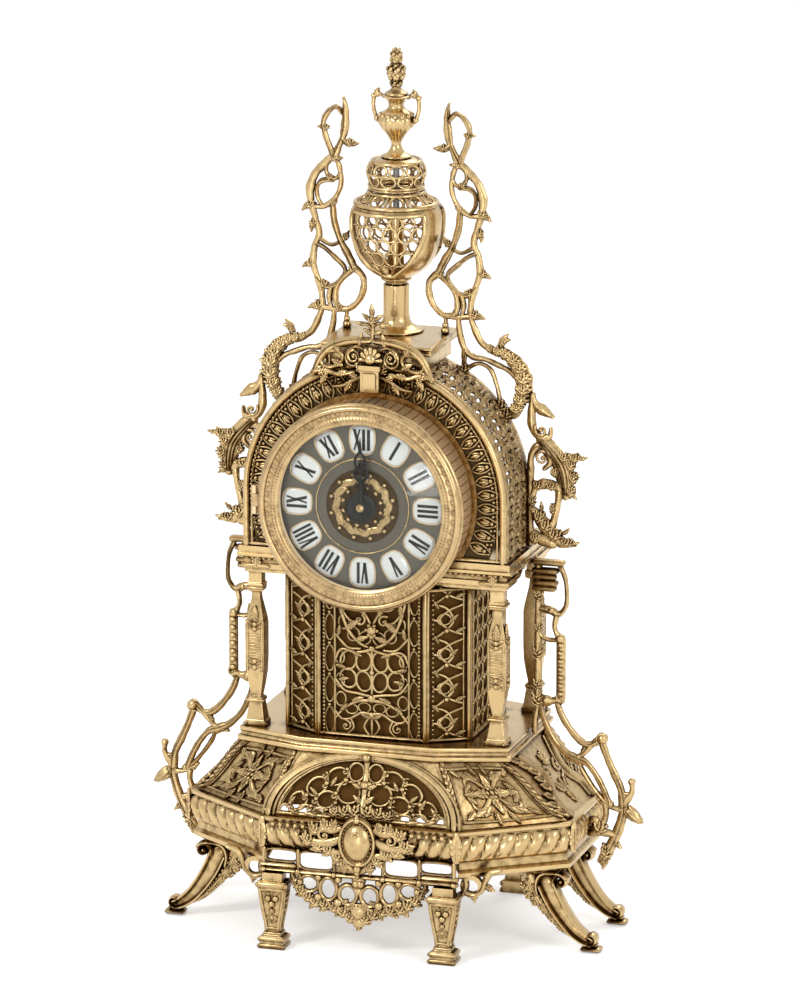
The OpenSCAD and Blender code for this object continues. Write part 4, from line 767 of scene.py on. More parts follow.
def crown_bracket(side):
    c = Cast("crown bracket " + hand(side), upright(side, 0, CAP_Z))
    th = sizes().casting
    c.strokes(CROWN, thick=th * 0.76, full=sizes().fullness * 0.9, k=6, hand=0.08)
    for line in CROWN[:3] + CROWN[5:7] + CROWN[8:10] + CROWN[15:16]:
        c.stroke(beside(line, 0.4, 1.2), thick=th * 0.98, k=2)
    c.eye(41.5, 101.5, 4.8, 6.4, 2.8, thick=th * 0.7)
    # knots of foliage along the outer edge
    for u, v, aim, size in ((30.5, 119, 200, 7), (57, 78, -20, 8), (55, 66, -60, 7), (57, 40, -10, 7),
            (52, 13, 0, 8), (48, 27, -60, 7), (44, 96, 70, 6), (38, 12, 80, 7), (29, 38, 120, 7),
            (47, 128, 20, 6), (42, 80, 150, 6), (41, 109, 200, 7), (34, 58, 140, 6)):
        c.leaf(u, v, aim, size * 0.8, size * 0.5, curl=-30, thick=th * 0.8)
        c.clump(u, v, size * 0.36, 8, 1.8)
    # outer scroll, thick with small leaves
    for u, v, r in ((62, -8, 2.2), (67, -9.5, 2.8), (72, -11, 3.4), (77, -14.5, 4), (81, -19.5, 4.6),
            (83.6, -26, 5), (83.8, -33, 4.8), (82, -40, 4.2), (79, -46, 3.6)):
        c.clump(u, v, r, 16, 2.6)
    c.leaf(69, -7, 95, 10, 5, curl=-50, thick=th * 0.7)
    c.leaf(68, -5, 60, 8, 4.4, curl=-50, thick=th * 0.6)
    for u, v in ((E1[0], E1[1]), (E2[0], E2[1]), (E3[0], E3[1])):
        c.clump(u, v, 4, 9, 2.2)
    c.make(["relief"], "case", [low_name("crown", side)])


ACROTERION = [
    [(3, 100, 1.2), (5, 93, 4.4), (11, 89, 5), (16, 86, 2.2)],
    [(3, 99, 3), (2.2, 88, 4), (3, 78, 4), (8, 72, 4), (14, 73, 3.2), (15, 78, 1.8)],
    [(2, 50, 3.4), (2, 59, 3.4), (6, 66, 3.6), (12, 65, 4), (15, 57, 3.6), (11, 52, 2.4)],
    [(9, 70, 6), (17, 62, 8.5), (23, 53, 9), (25, 43, 8), (25, 36, 5)],
    [(24, 57, 5), (30, 60, 3.6), (36, 60, 1.2)],
    [(2, 33, 4), (5, 39, 4.2), (11, 42, 4.8), (18, 41, 5), (23, 38, 5)],
    [(21, 38, 4), (19, 26, 3.4), (16, 14, 3.4)],
    [(2, 25, 4.4), (8, 19, 6.4), (14, 12, 7), (20, 6, 6), (26, 4, 4), (31.5, 3, 1.2)],
    [(1.5, 9, 5), (8, 6, 6), (16, 4, 5.4)],
    [(1.5, 3, 3.4), (1.5, 25, 3.6), (1.5, 50, 3.6)],
]


def acroterion(side):
    c = Cast("leafy side ornament " + hand(side), upright(side, ARCH_R, ENTAB_Z))
    th = sizes().casting
    c.strokes(ACROTERION, thick=th * 0.85, full=sizes().fullness, k=6, hand=0.08)
    for share in (-0.66, -0.2, 0.3):
        c.stroke(beside(ACROTERION[3], share, 1.8), thick=th * 1.12, k=2)
    for u, v, r, wide in ((24, 60, 3, 4), (28.4, 55, 4, 3), (30, 47, 4.4, 2.8), (28.6, 38, 4, 2.8),
            (31, 60, 2.6, 3.6), (8, 20, 4.2, 3.6), (12.6, 14.6, 4.2, 4.4), (18.4, 9, 3.8, 4.6),
            (26, 5, 2.6, 4.4), (7, 41, 2.6, 3.8), (16, 41, 2.8, 4.4), (5, 6, 3.4, 3.4),
            (3, 30, 4.2, 2.4), (17, 26, 4, 2.2), (18, 50, 3, 2.6)):
        c.clump(u, v, r, 12, 2.4, wide)
    c.leaves(1, ((33, 60, -4, 6), (28, 60, 24, 6), (29, 48, -14, 5), (28, 38, -60, 6), (27, 4, -2, 7),
        (9, 24, 80, 6), (16, 17, 50, 6), (23, 10, 30, 6)), curl=20, thick=th * 0.7)
    c.volute(10, 59, 4.8, 70, 1.1, 1, 2.4, base=1.6)
    c.volute(9, 77, 4.4, 150, 1.1, 1, 2.4, base=1.6)
    c.make(["relief"], "case", [low_name("acroterion", side)])


# ---- base ----

def grown(plan, d):
    """Octagon moved outwards by d with sharp corners."""
    p = [Vector(q) for q in plan]
    n = len(p)
    out = []
    for i in range(n):
        u = (p[i] - p[i - 1]).normalized()
        v = (p[(i + 1) % n] - p[i]).normalized()
        a, b = Vector((u.y, -u.x)), Vector((v.y, -v.x))
        q = p[i] + (a + b) * (d / (1 + a.dot(b)))
        out.append((q.x, q.y))
    return out


def gadroon_rim():
    c = Cast("gadrooned rim")
    h = LEDGE_Z - RIM_Z
    profile = [(-9, 0.0, 0), (-2.5, 0.0, 0), (-0.6, 0.03, 0.3), (0.6, 0.10, 0.8), (1.9, 0.24, 1),
        (2.5, 0.42, 1), (2.4, 0.58, 1), (1.6, 0.70, 1), (0.4, 0.78, 0.6), (-0.5, 0.81, 0),
        (-0.5, 0.85, 0), (0.9, 0.88, 0), (1.0, 0.97, 0), (0.2, 1.0, 0), (-9, 1.0, 0)]
    lobe = sizes().lobe
    grown_plans = {off: grown(RIM_PLAN, off) for off, z, lobed in profile}
    rings = []
    for face in range(8):
        a, b = RIM_PLAN[face], RIM_PLAN[(face + 1) % 8]
        length = dist(a, b)
        count = round(length / 0.8)
        for s in (j / count for j in range(count)):
            x, y = a[0] + (b[0] - a[0]) * s, a[1] + (b[1] - a[1]) * s
            lean = 0.8 if (x < 0) == (y < 0) else -0.8
            nx, ny = (b[1] - a[1]) / length, -(b[0] - a[0]) / length
            ring = []
            for off, z, lobed in profile:
                plan = grown_plans[off]
                ga, gb = plan[face], plan[(face + 1) % 8]
                wave = abs(sin(pi * (round(length / lobe) * s + lean * (z - 0.45)))) ** 0.5
                d = lobed * (wave - 1) * 3.4
                ring.append((ga[0] + (gb[0] - ga[0]) * s + nx * d, ga[1] + (gb[1] - ga[1]) * s + ny * d,
                    RIM_Z + z * h))
            rings.append(ring)
    c.rings(rings, closed=True)
    n = len(profile)
    c.m = [1 if i % n in (0, n - 1) else 0 for i in range(len(c.m))]
    # leaves that bind the corners
    for x, y in RIM_PLAN:
        turn = atan2(y * 1.6, x)
        c.place = lambda u, v, d, x=x, y=y, turn=turn: (x + d * cos(turn) - u * sin(turn),
                                                       y + d * sin(turn) + u * cos(turn), v)
        c.leaf(0, RIM_Z + 2, 90, 17, 8, thick=3.4, base=1.0)
    c.make(["smooth", "inside"], "case", ["gadroon_rim"], angle=40)


def cartouche(side):
    c = Cast("oval cartouche " + facing(side), front_plane(side, 82.8, RIM_Z + 9))
    rings = []
    for share, h in ((0.2, -0.4), (1.0, -0.4), (1.0, 1.6), (0.93, 2.6), (0.86, 2.9), (0.80, 2.2),
            (0.76, 2.1), (0.72, 3.0), (0.62, 4.6), (0.45, 6.0), (0.22, 6.9), (0.03, 7.1)):
        rings.append([c.place(12.6 * share * cos(a), 16.5 * share * sin(a), h)
                      for a in turns(40)])
    c.rings(rings)
    c.eye(0, 0, 11.2, 15.0, 2.2, base=2.4, n=40)
    for k in range(28):
        a = 2 * pi * k / 28
        c.bead(9.4 * cos(a), 12.8 * sin(a), 0.8, base=2.2)
    # plain rosette on the boss
    for k in range(5):
        c.bead(2.3 * cos(k * 1.2566 + 1.57), 5 + 2.3 * sin(k * 1.2566 + 1.57), 1.3, base=5.6, tall=0.7)
    c.bead(0, 5, 1.4, base=6.0)
    # foliage that spreads from the shield over the rim
    for s in (-1, 1):
        c.strokes([[(11, 8, 4), (17, 6.6, 5.4), (23, 7, 5.4), (28, 4.4, 4), (31, 6, 2)],
                   [(12, 1, 5), (18, -1.6, 6.4), (25, -2.4, 6), (31, -2, 4.6), (36, -4, 2)],
                   [(10, -8, 4), (16, -8, 5), (22, -6.6, 4)],
                   [(9, -12, 3.6), (5, -17, 4.4), (0, -20, 4)]], s, base=0.6, tall=0.62)
        for u, v, aim, size in ((15, 9, 80, 8), (21, 9, 60, 8), (28, 6, 20, 9), (32, -1, 0, 10),
                (26, -5, -40, 9), (19, -7, -60, 9), (13, -11, -70, 9), (8, -16, -100, 8)):
            c.leaf(s * u, v, aim if s > 0 else 180 - aim, size * 0.58, size * 0.5, curl=s * 30,
                thick=3.0, base=0.9)
            c.clump(s * u, v, size * 0.42, 10, 1.6)
        c.volute(s * 22, 3, 4.2, 90, 1.1, -s, 2.4, base=1.6)
        for k in range(5):
            c.bead(s * (36 + 5 * k), 7.6, 1.7, base=1.4)
    for k in range(3):
        c.bead(0, 14.5 + k * 1.6, 2.4 - 0.6 * k, base=2.2)
        c.bead(0, -17.4 - k * 2.6, 3.0 - 0.7 * k, base=1.6 - 0.3 * k)
    c.make(["relief"], "case", [facing(side) + "_cartouche"])


def slope_point(face, s, t, h):
    """Point on the plinth's slope: share s along a face, share t up it, h out of it."""
    e = t + 0.03 * sin(2 * pi * t)
    low, high = SLOPE_LOW, DECK_PLAN
    a = Vector(low[face]).lerp(Vector(high[face]), e)
    b = Vector(low[(face + 1) % 8]).lerp(Vector(high[(face + 1) % 8]), e)
    p = a.lerp(b, s)
    edge = (b - a).normalized()
    la, ha = Vector(low[face]), Vector(high[face])
    inset = abs((ha - la).dot(Vector((edge.y, -edge.x))))
    rise = SLOPE_Z - LEDGE_Z
    k = hypot(rise, inset)
    out = Vector((edge.y, -edge.x)) * (rise / k)
    return (p.x + out.x * h, p.y + out.y * h, LEDGE_Z + t * rise + h * inset / k)


SLOPE_LOW = grown(RIM_PLAN, -4)



def front_slope(side):
    """Place function of the sloping front or rear face: u along it, v up the slope, millimetres."""
    w = hypot(SLOPE_RISE, SLOPE_RUN)

    def place(u, v, h):
        y = -76 + v * SLOPE_RUN / w - h * SLOPE_RISE / w
        z = LEDGE_Z + v * SLOPE_RISE / w + h * SLOPE_RUN / w
        return (-side * u, -side * y, z)
    return place


def plinth_shell():
    c = Cast("plinth shell")
    steps = 14
    wall = 3.0
    n = 24
    for face in range(8):
        if face in (0, 4):
            # the face is open under the arch of the grille
            place = front_slope(-1 if face == 0 else 1)
            for s in (-1, 1):
                outer, inner = [], []
                for k in range(25):
                    a = radians(90 - 90 * k / 24)
                    inner.append((s * OPEN_W * cos(a), 1 + OPEN_H * sin(a)))
                    q = k / 12 - 1
                    outer.append((s * 47.5 * (q + 1), 41.7) if q < 0 else (s * (46.5 + 15.5 * q),
                        41.7 * (1 - q)))
                rows = [[place(*p, d) for p in line] for line, d in ((outer, 0.0), (inner, 0.0),
                    (inner, -wall), (outer, -wall))]
                verts = [p for r in rows for p in r]
                faces = []
                for j in range(4):
                    a0, b0 = j * 25, ((j + 1) % 4) * 25
                    faces += [(a0 + i, a0 + i + 1, b0 + i + 1, b0 + i) for i in range(24)]
                c.add(verts, faces + [(0, 25, 50, 75), (24, 99, 74, 49)])
                c.m[-2 - 48:-2 - 24] = [1] * 24
            continue
        rows = [[slope_point(face, s / n, t / steps, 0) for s in range(n + 1)]
            for t in range(steps + 1)]
        inside = [[slope_point(face, s / n, t / steps, -wall) for s in range(n + 1)]
            for t in range(steps + 1)]
        loop = rows + inside[::-1]
        m = n + 1
        for j in range(len(loop)):
            a0, b0 = loop[j], loop[(j + 1) % len(loop)]
            c.add(a0 + b0, [(i, i + 1, m + i + 1, m + i) for i in range(n)],
                1 if steps < j < 2 * steps + 1 else 0)
    # raised arch round each grille
    for side in (-1, 1):
        c.place = front_slope(side)
        for inset, w, tall in ((4.2, 4.4, 0.9), (0.6, 2.0, 1.2), (8.4, 2.2, 1.0)):
            arc = [((OPEN_W + inset) * cos(pi * k / 32) * (1 if inset < 5 else 0.985),
                    0.5 + (40 + inset * 0.45) * sin(pi * k / 32), w) for k in range(33)]
            c.stroke(arc, k=1, tall=tall, base=0.6)
        c.bead(0, 41, 3.4, base=1.5)
        for s in (-1, 1):
            c.leaf(s * 2, 42, 90 - s * 78, 13, 6, thick=3, base=1.2)
    for face in (1, 2, 3, 5, 6, 7):
        a, b = SLOPE_LOW[face], SLOPE_LOW[(face + 1) % 8]
        long = dist(a, b)
        c.place = lambda u, v, h, face=face, long=long: slope_point(face, u / long, v / SLOPE_LEN, h)
        mid = long / 2
        if face in (2, 6):
            # tongue-shaped console between leafy edges
            for s in (-1, 1):
                line = [(mid + s * 26, 1.5, 5), (mid + s * 25, 9, 5), (mid + s * 16, 18, 4.4),
                    (mid + s * 15, 28, 4.4), (mid + s * 21, 39, 5)]
                c.stroke(line, base=1.0, tall=0.9)
                c.stroke([(u - s * 4.4, v, 1.8) for u, v, w in line], base=0.6, tall=1.0)
                for k in range(8):
                    v = 3 + 5 * k
                    u = float(np.interp(v, [p[1] for p in line], [abs(p[0] - mid) for p in line])) + 4
                    c.leaf(mid + s * u, v, 90 - s * 55, 7, 4.6, thick=3.2, base=1.0)
                    c.bead(mid + s * (u + 1), v - 1, 1.7, base=1.4)
                c.volute(mid + s * 8, 24, 4.0, 90, 1.1, s, 2.2, base=0.6)
                c.leaf(mid + s * 4, 12, 90 - s * 40, 9, 5, thick=2.6, base=0.4)
            c.clump(mid, 31, 4, 9, 0.9)
            c.leaf(mid, 5, 90, 12, 7, thick=2.8, base=0.4)
            continue
        # framed relief panel
        l, r = 7, long - 7
        c.strokes([[(l, 4, 2), (l + 2, 20, 2), (l + 3, 37, 2)], [(r, 4, 2), (r - 2, 20, 2),
            (r - 3, 37, 2)], [(l, 4, 2), (mid, 3.4, 2), (r, 4, 2)], [(l + 3, 37, 2), (mid, 38, 2),
            (r - 3, 37, 2)]], base=0.5, tall=1.1)
        # cross of foliage round a rosette
        for s in (-1, 1):
            for q in (-1, 1):
                c.stroke([(mid, 21, 3), (mid + s * 6, 21 + q * 6, 3.4), (mid + s * 12, 21 + q * 10, 3),
                    (mid + s * 17, 21 + q * 9, 2.4), (mid + s * 18, 21 + q * 4.6, 2)], base=0.6,
                    tall=0.9)
                aim = q * 40
                for u, v, turn, size in ((7, 9, 0, 8), (12, 11, -20, 8), (15, 6, -80, 7),
                        (5, 13, 40, 7), (20, 12, -10, 7)):
                    c.leaf(mid + s * u, 21 + q * v, (aim + q * turn) if s > 0
                        else 180 - (aim + q * turn), size, size * 0.62, thick=3.2, base=0.8)
            c.leaf(mid + s * 2, 21, 90 - s * 90, 12, 7, thick=3.6, base=1.0)
            c.leaf(mid + s * 12, 21, 90 - s * 90, 9, 5, thick=3, base=0.8)
            # leafy console at the face's edge
            for k in range(9):
                u, v = mid + s * (mid - 2.4 - 0.3 * k), 3 + k * 4.3
                c.leaf(u, v, 90 + s * 40, 6, 4.4, thick=3, base=0.8)
                c.bead(u, v, 1.9, base=1.2, wide=2.3)
        for aim in (90, -90):
            c.leaf(mid, 21, aim, 13, 7, thick=3.6, base=1.0)
        for k in range(6):
            c.bead(mid + 3.2 * cos(k * 1.047), 21 + 3.2 * sin(k * 1.047), 1.6, base=2.0)
        c.bead(mid, 21, 2.0, base=2.6)
    c.make(["relief", "inside"], "case", ["plinth_shell"], angle=40)


def lunette(side):
    c = Cast("arched grille " + facing(side), front_slope(side))
    w = sizes().web * 1.2
    base = -1.0
    arc = [(56.2 * cos(pi * k / 28), 1 + 39.2 * sin(pi * k / 28), 3) for k in range(29)]
    c.stroke(arc, k=1, base=base)
    c.stroke([(-57, 1.8, 3.4), (0, 1.8, 3.4), (57, 1.8, 3.4)], k=3, base=base)
    # brown sheet behind the upper openings: painted shade in place of the plinth's dark inside
    edge = [(55 * cos(pi * (0.06 + 0.88 * k / 24)), 1 + 38 * sin(pi * (0.06 + 0.88 * k / 24)))
        for k in range(25)]
    c.rings([[c.place(u, v, d) for v, d in ((8, -3.4), (y, -3.4), (y, -4.2), (8, -4.2))] for u,
        y in edge], finish_index=1)
    # irregular ovals that touch, with a curl where they meet
    for s in (-1, 1):
        for u, v, ru, rv, turn in ((6.4, 31.6, 5.2, 6.0, 0), (18.6, 28, 7.0, 5.4, -24),
                (31.6, 20.6, 7.2, 5.4, -40), (43, 10.4, 6.4, 5.2, -52), (10.4, 18.2, 7.6, 7.0, 0),
                (24.4, 12.6, 6.6, 5.4, -20), (28.4, 3.6, 4.6, 3.4, 0), (38.4, 4.6, 4.6, 3.6, -20),
                (50.4, 4.6, 4.4, 3.2, 0)):
            c.eye(s * u, v, ru, rv, w * 0.85, turn=s * turn, base=base)
        for u, v, r in ((12.4, 33, 1.5), (12.6, 26, 1.9), (25, 23, 1.9), (25.6, 29.6, 1.3),
                (37.6, 14.4, 1.8), (18.4, 17, 1.7), (18, 11, 1.7), (31, 12.6, 1.7), (3, 24.6, 1.9),
                (34, 7.6, 1.5), (44, 4.4, 1.5), (48, 8.6, 1.4), (23.6, 6, 1.6)):
            c.bead(s * u, v, r, base=base + 1.2)
            c.volute(s * (u + 1.6), v - 1.6, 2.3, 60, 0.9, s, 1.3, base=base + 0.9)
        c.leaves(s, ((49, 8, 130, 6), (38, 12, 60, 6), (31, 15.6, 40, 6), (22, 22, 120, 6),
            (42, 2, 20, 7), (30, 1.6, 10, 8)), thick=2.6, base=base + 0.8)
        # bed of foliage behind the shield
        c.stroke([(0, 5, 9), (s * 10, 5, 9), (s * 20, 4, 5), (s * 26, 1.6, 2)], base=base, tall=0.3)
        for u, v, r in ((4, 6, 4.6), (11, 5.6, 4.2), (17.6, 4.6, 3.4)):
            c.clump(s * u, v, r, 9, 1.6)
        c.leaf(s * 2, 22, 90 - s * 72, 6, 4, thick=2.8, base=base + 1)
        c.leaf(s * 1, 12, 90 - s * 50, 7, 4.4, thick=2.8, base=base + 1)
    # stem that carries the middle
    c.stroke([(0, 39, 4.4), (0, 31, 3.0), (0, 24, 5.4), (0, 18, 3.4), (0, 10, 5.4)], base=base + 0.6,
        tall=0.8)
    c.bead(0, 23.6, 3.2, base=base + 1.2)
    c.make(["relief", "liner"], "case", [facing(side) + "_lunette"])


def apron(side):
    c = Cast("pierced apron " + facing(side), front_plane(side, 80.5, RIM_Z))
    rail = -16
    th = 5.0
    c.stroke([(-64, rail + 1.5, 3.8), (64, rail + 1.5, 3.8)], k=2, thick=th)
    for s in (-1, 1):
        c.stroke([(s * 43, rail + 4.8, 4.2), (s * 64, rail + 4.8, 4.2)], k=2, thick=th)
        for u, w in ((16.2, 3), (40.2, 3), (62.8, 3)):
            c.stroke([(s * u, rail + 1, w), (s * u, -0.8, w)], k=2, thick=th * 0.8)
            c.bead(s * u, rail + 1.6, 2.1, base=1.6)
        c.stroke(window(s * 28.2, -6.6, 11.4, 6.0, 1.8), closed=True, k=1, thick=3.6)
        c.stroke(window(s * 51.5, -4.6, 10.6, 4.0, 1.8), closed=True, k=1, thick=3.6)
        # row of rounded openings under the rail
        for u, v, ru, rv in ((33, rail - 5.6, 6.4, 5.4), (20.2, rail - 8.2, 5.8, 7.6),
                (7.2, rail - 11, 6.0, 6.6), (41.8, rail - 1.6, 2.8, 2.6)):
            c.eye(s * u, v, ru, rv, 3.2, thick=th * 0.8)
        c.strokes([[(45, rail + 2, 3.6), (42, rail - 6, 3.4), (35, rail - 13, 3.8),
            (25, rail - 18, 3.8), (13, rail - 20, 4.2)], [(14, rail - 19, 4), (8, rail - 24, 5.6),
            (2, rail - 28, 6)]], s, thick=th * 0.9, k=6)
        for u, v, r in ((26.6, rail - 1, 2.6), (13.4, rail - 1.5, 2.6), (39, rail - 5, 2.6),
                (26.8, rail - 14, 3), (13.6, rail - 16.5, 3.2), (1.5, rail - 3, 3),
                (40.5, rail + 0.5, 2.4)):
            c.bead(s * u, v, r, base=0.8)
        # garland along the lower edge
        c.leaves(s, ((37, rail - 12, -50, 8), (30, rail - 17, -88, 9), (42, rail - 4, -20, 6.5),
            (22, rail - 19.5, -70, 8.5), (14, rail - 21.6, -96, 7.5), (8, rail - 15, -60, 8)), 0.6, 0.6,
            curl=s * 40, lobes=1, thick=th * 0.8)
        for u, v, r in ((41, rail - 7, 3.0), (38, rail - 11, 3.4), (33.5, rail - 14.6, 3.6),
                (28, rail - 17.4, 3.8), (22, rail - 19, 3.6), (16, rail - 20, 3.6),
                (10, rail - 22.6, 3.8), (5, rail - 26, 3.8)):
            c.clump(s * u, v, r, 8, 2.0)
    # pendant under the shield
    for v, r in ((rail - 1, 5), (rail - 8, 3.6), (rail - 21.5, 6), (rail - 28.4, 4.6),
            (rail - 31.5, 2.6)):
        c.bead(0, v, r, tall=0.55)
    for k in range(5):
        c.leaf(0, rail - 17.5, -90 + (k - 2) * 36, 10, 6, thick=th * 0.9, base=0.3)
    c.clump(0, rail - 23, 4.2, 9, 1.9)
    for v, r in ((rail - 29, 3.2), (rail - 32, 2.2)):
        c.clump(0, v, r, 6, 1.4)
    c.make(["relief"], "case", [facing(side) + "_apron"])


def scroll_feet():
    c = Cast("curled feet")
    leg = [(0, 43, 13), (4.6, 33, 12.4), (11, 22.6, 11), (18, 14, 9.4), (25, 8.6, 7.8), (30, 6.6, 6)]
    for sx, sy in CORNERS:
        c.place = lambda u, v, h, sx=sx, sy=sy: (sx * (CURL_AT[0] + u), sy * (CURL_AT[1] + h), v)
        # hollow leg between two raised edges, rolled up at both ends
        c.stroke(leg, thick=5.0, k=7, sides=12)
        for share in (-0.78, 0.78):
            c.stroke(beside(leg, share, 2.8), thick=10, k=2, sides=10)
        c.stroke([(-5.4, 36, 2.6), (-6.4, 42, 3), (-4.4, 48, 3.2), (1.6, 50.6, 3.4), (9, 50.2, 3.2),
            (13.6, 47.6, 3)], thick=10.6, k=4, sides=10)
        c.volute(9.6, 45.0, 5.4, 205, 1.2, -1, 4.0, thick=11)
        c.volute(29.2, 8.8, 4.6, 240, 1.1, 1, 3.2, thick=10.5)
        c.bead(9.6, 45.0, 2.4, tall=2.0)
        c.bead(29.2, 8.8, 1.5, tall=2.6)
        c.stroke([(24.5, 1.8, 3.6), (34.5, 1.8, 3.6)], thick=12, k=2)
        c.stroke([(26, 4.6, 2.4), (32.6, 4.6, 2.4)], thick=8.6, k=2)
        # shoulder, and the acanthus that hugs the crook
        c.stroke([(-7, 51, 5.6), (6, 51, 5.6)], thick=11, k=2)
        c.stroke([(-11, 47, 9), (-9, 41, 10), (-5.4, 33, 7.6), (0, 25.6, 6), (5.6, 18.6, 5),
            (11.5, 12.8, 4), (18, 8.8, 2)], thick=6.6, k=5)
        for u, v, aim, size in ((-12, 44, -72, 15), (-9, 37, -62, 14), (-4.4, 30, -56, 12),
                (1, 23.4, -52, 10), (6.6, 17, -44, 8)):
            for h in (-1, 1):
                c.leaf(u, v, aim, size, size * 0.5, curl=14, lobes=3, thick=4.2, base=h * 2.0)
        for u, v, r in ((-13.4, 40, 3.6), (-11.6, 34.6, 3.2), (-7.6, 30, 2.6)):
            c.clump(u, v, r, 8, 3.0)
    c.make(["smooth"], "case", ["scroll_feet"])


FOOT_Z = (0, 8, 9, 12, 16, 24, 34, 39.5, 40, 44.5, 45, 50)
FOOT_W = (8, 8, 6, 4.5, 4.8, 6.4, 8, 8.5, 9.3, 9.3, 6.8, 6.8)
FOOT_D = (6.5, 6.5, 5.2, 4.2, 4.2, 4.7, 5.2, 5.6, 6.5, 6.5, 4.7, 4.7)


def foot_relief():
    """Framed panels with grapes, and the mouldings of the pads, on the straight feet."""
    c = Cast("relief on the straight feet")
    for sx, side in CORNERS:
        for cheek in (0, 1, -1):
            wide, deep = (FOOT_W, FOOT_D) if cheek == 0 else (FOOT_D, FOOT_W)

            def half(v, wide=wide):
                return float(np.interp(v, FOOT_Z, wide))

            def place(u, v, h, sx=sx, side=side, cheek=cheek, deep=deep):
                out = float(np.interp(v, FOOT_Z, deep)) + h
                if cheek == 0:
                    return (sx * FOOT_AT[0] + u, side * (FOOT_AT[1] + out), v)
                return (sx * FOOT_AT[0] + cheek * out, side * (FOOT_AT[1] + u), v)
            c.place = place
            for s in (-1, 1):
                c.stroke([(s * (half(v) - 0.9), v, 2.0) for v in (39.5, 34, 29, 24, 19, 15.5, 12.5)],
                    k=3, tall=1.0)
            for v, w in ((39, 2.0), (13.5, 1.6), (10.4, 1.6)):
                c.stroke([(-half(v) + 0.6, v, w), (half(v) - 0.6, v, w)], k=2, tall=1.0)
            for v, w in ((1.7, 3.2), (6.3, 2.8), (42.3, 3.4)):
                c.stroke([(-half(v), v, w), (half(v), v, w)], k=2, tall=0.55)
            k = half(30) / 7.4
            for u, v, r in ((-2.5, 33.4, 2.4), (2.5, 33.4, 2.4), (0, 29.8, 2.5), (0, 25.2, 2.0),
                    (0, 20.4, 1.6)):
                c.bead(u * k, v, r * k, tall=0.8)
            for s in (-1, 1):
                c.leaf(s * 1.2 * k, 36, 90 - s * 62, 4.6 * k, 2.8, thick=2.0)
                c.leaf(s * 0.6 * k, 22, 90 - s * 130, 4.6 * k, 2.6, thick=1.6)
                c.leaf(s * 0.6 * k, 17.4, 90 - s * 28, 4.0 * k, 2.4, thick=1.6)
        # scrolled corner bracket round the frame's ring
        c.place = lambda u, v, h, sx=sx, side=side: (sx * (72 + u), side * (71 + h), v)
        c.strokes([[(-9, 42, 4), (-5, 45, 4.4), (-4, 52, 4.4), (-8, 59, 4.6), (-10, 63, 4.6)],
            [(-5, 45, 4), (1, 43.6, 4), (6.4, 47, 4), (8.6, 53, 4.4), (12, 58.6, 5), (18, 61, 4)]],
            thick=5.4)
        c.leaf(1, 44, -80, 5, 4.4, thick=4)
        c.leaf(9, 50, -30, 6, 4.4, thick=4)
    c.make(["relief"], "case")


# ---- lantern case ----

def case_places(side):
    """Place functions of a bay: its front, and its right and left canted faces."""
    slope = atan2(53.5 - CANTED_Y, CASE_W - PANEL_W)
    ca, sa = cos(slope), sin(slope)

    def face(u, v, h):
        return (-side * u, side * (CASE_FACE + h), v + DECK_Z)

    def cant(s):
        def place(u, v, h):
            x = s * (PANEL_W + u * ca + h * sa)
            y = CASE_FACE - u * sa + h * ca
            return (x, side * y, v + DECK_Z)
        return place
    return face, cant(1), cant(-1)


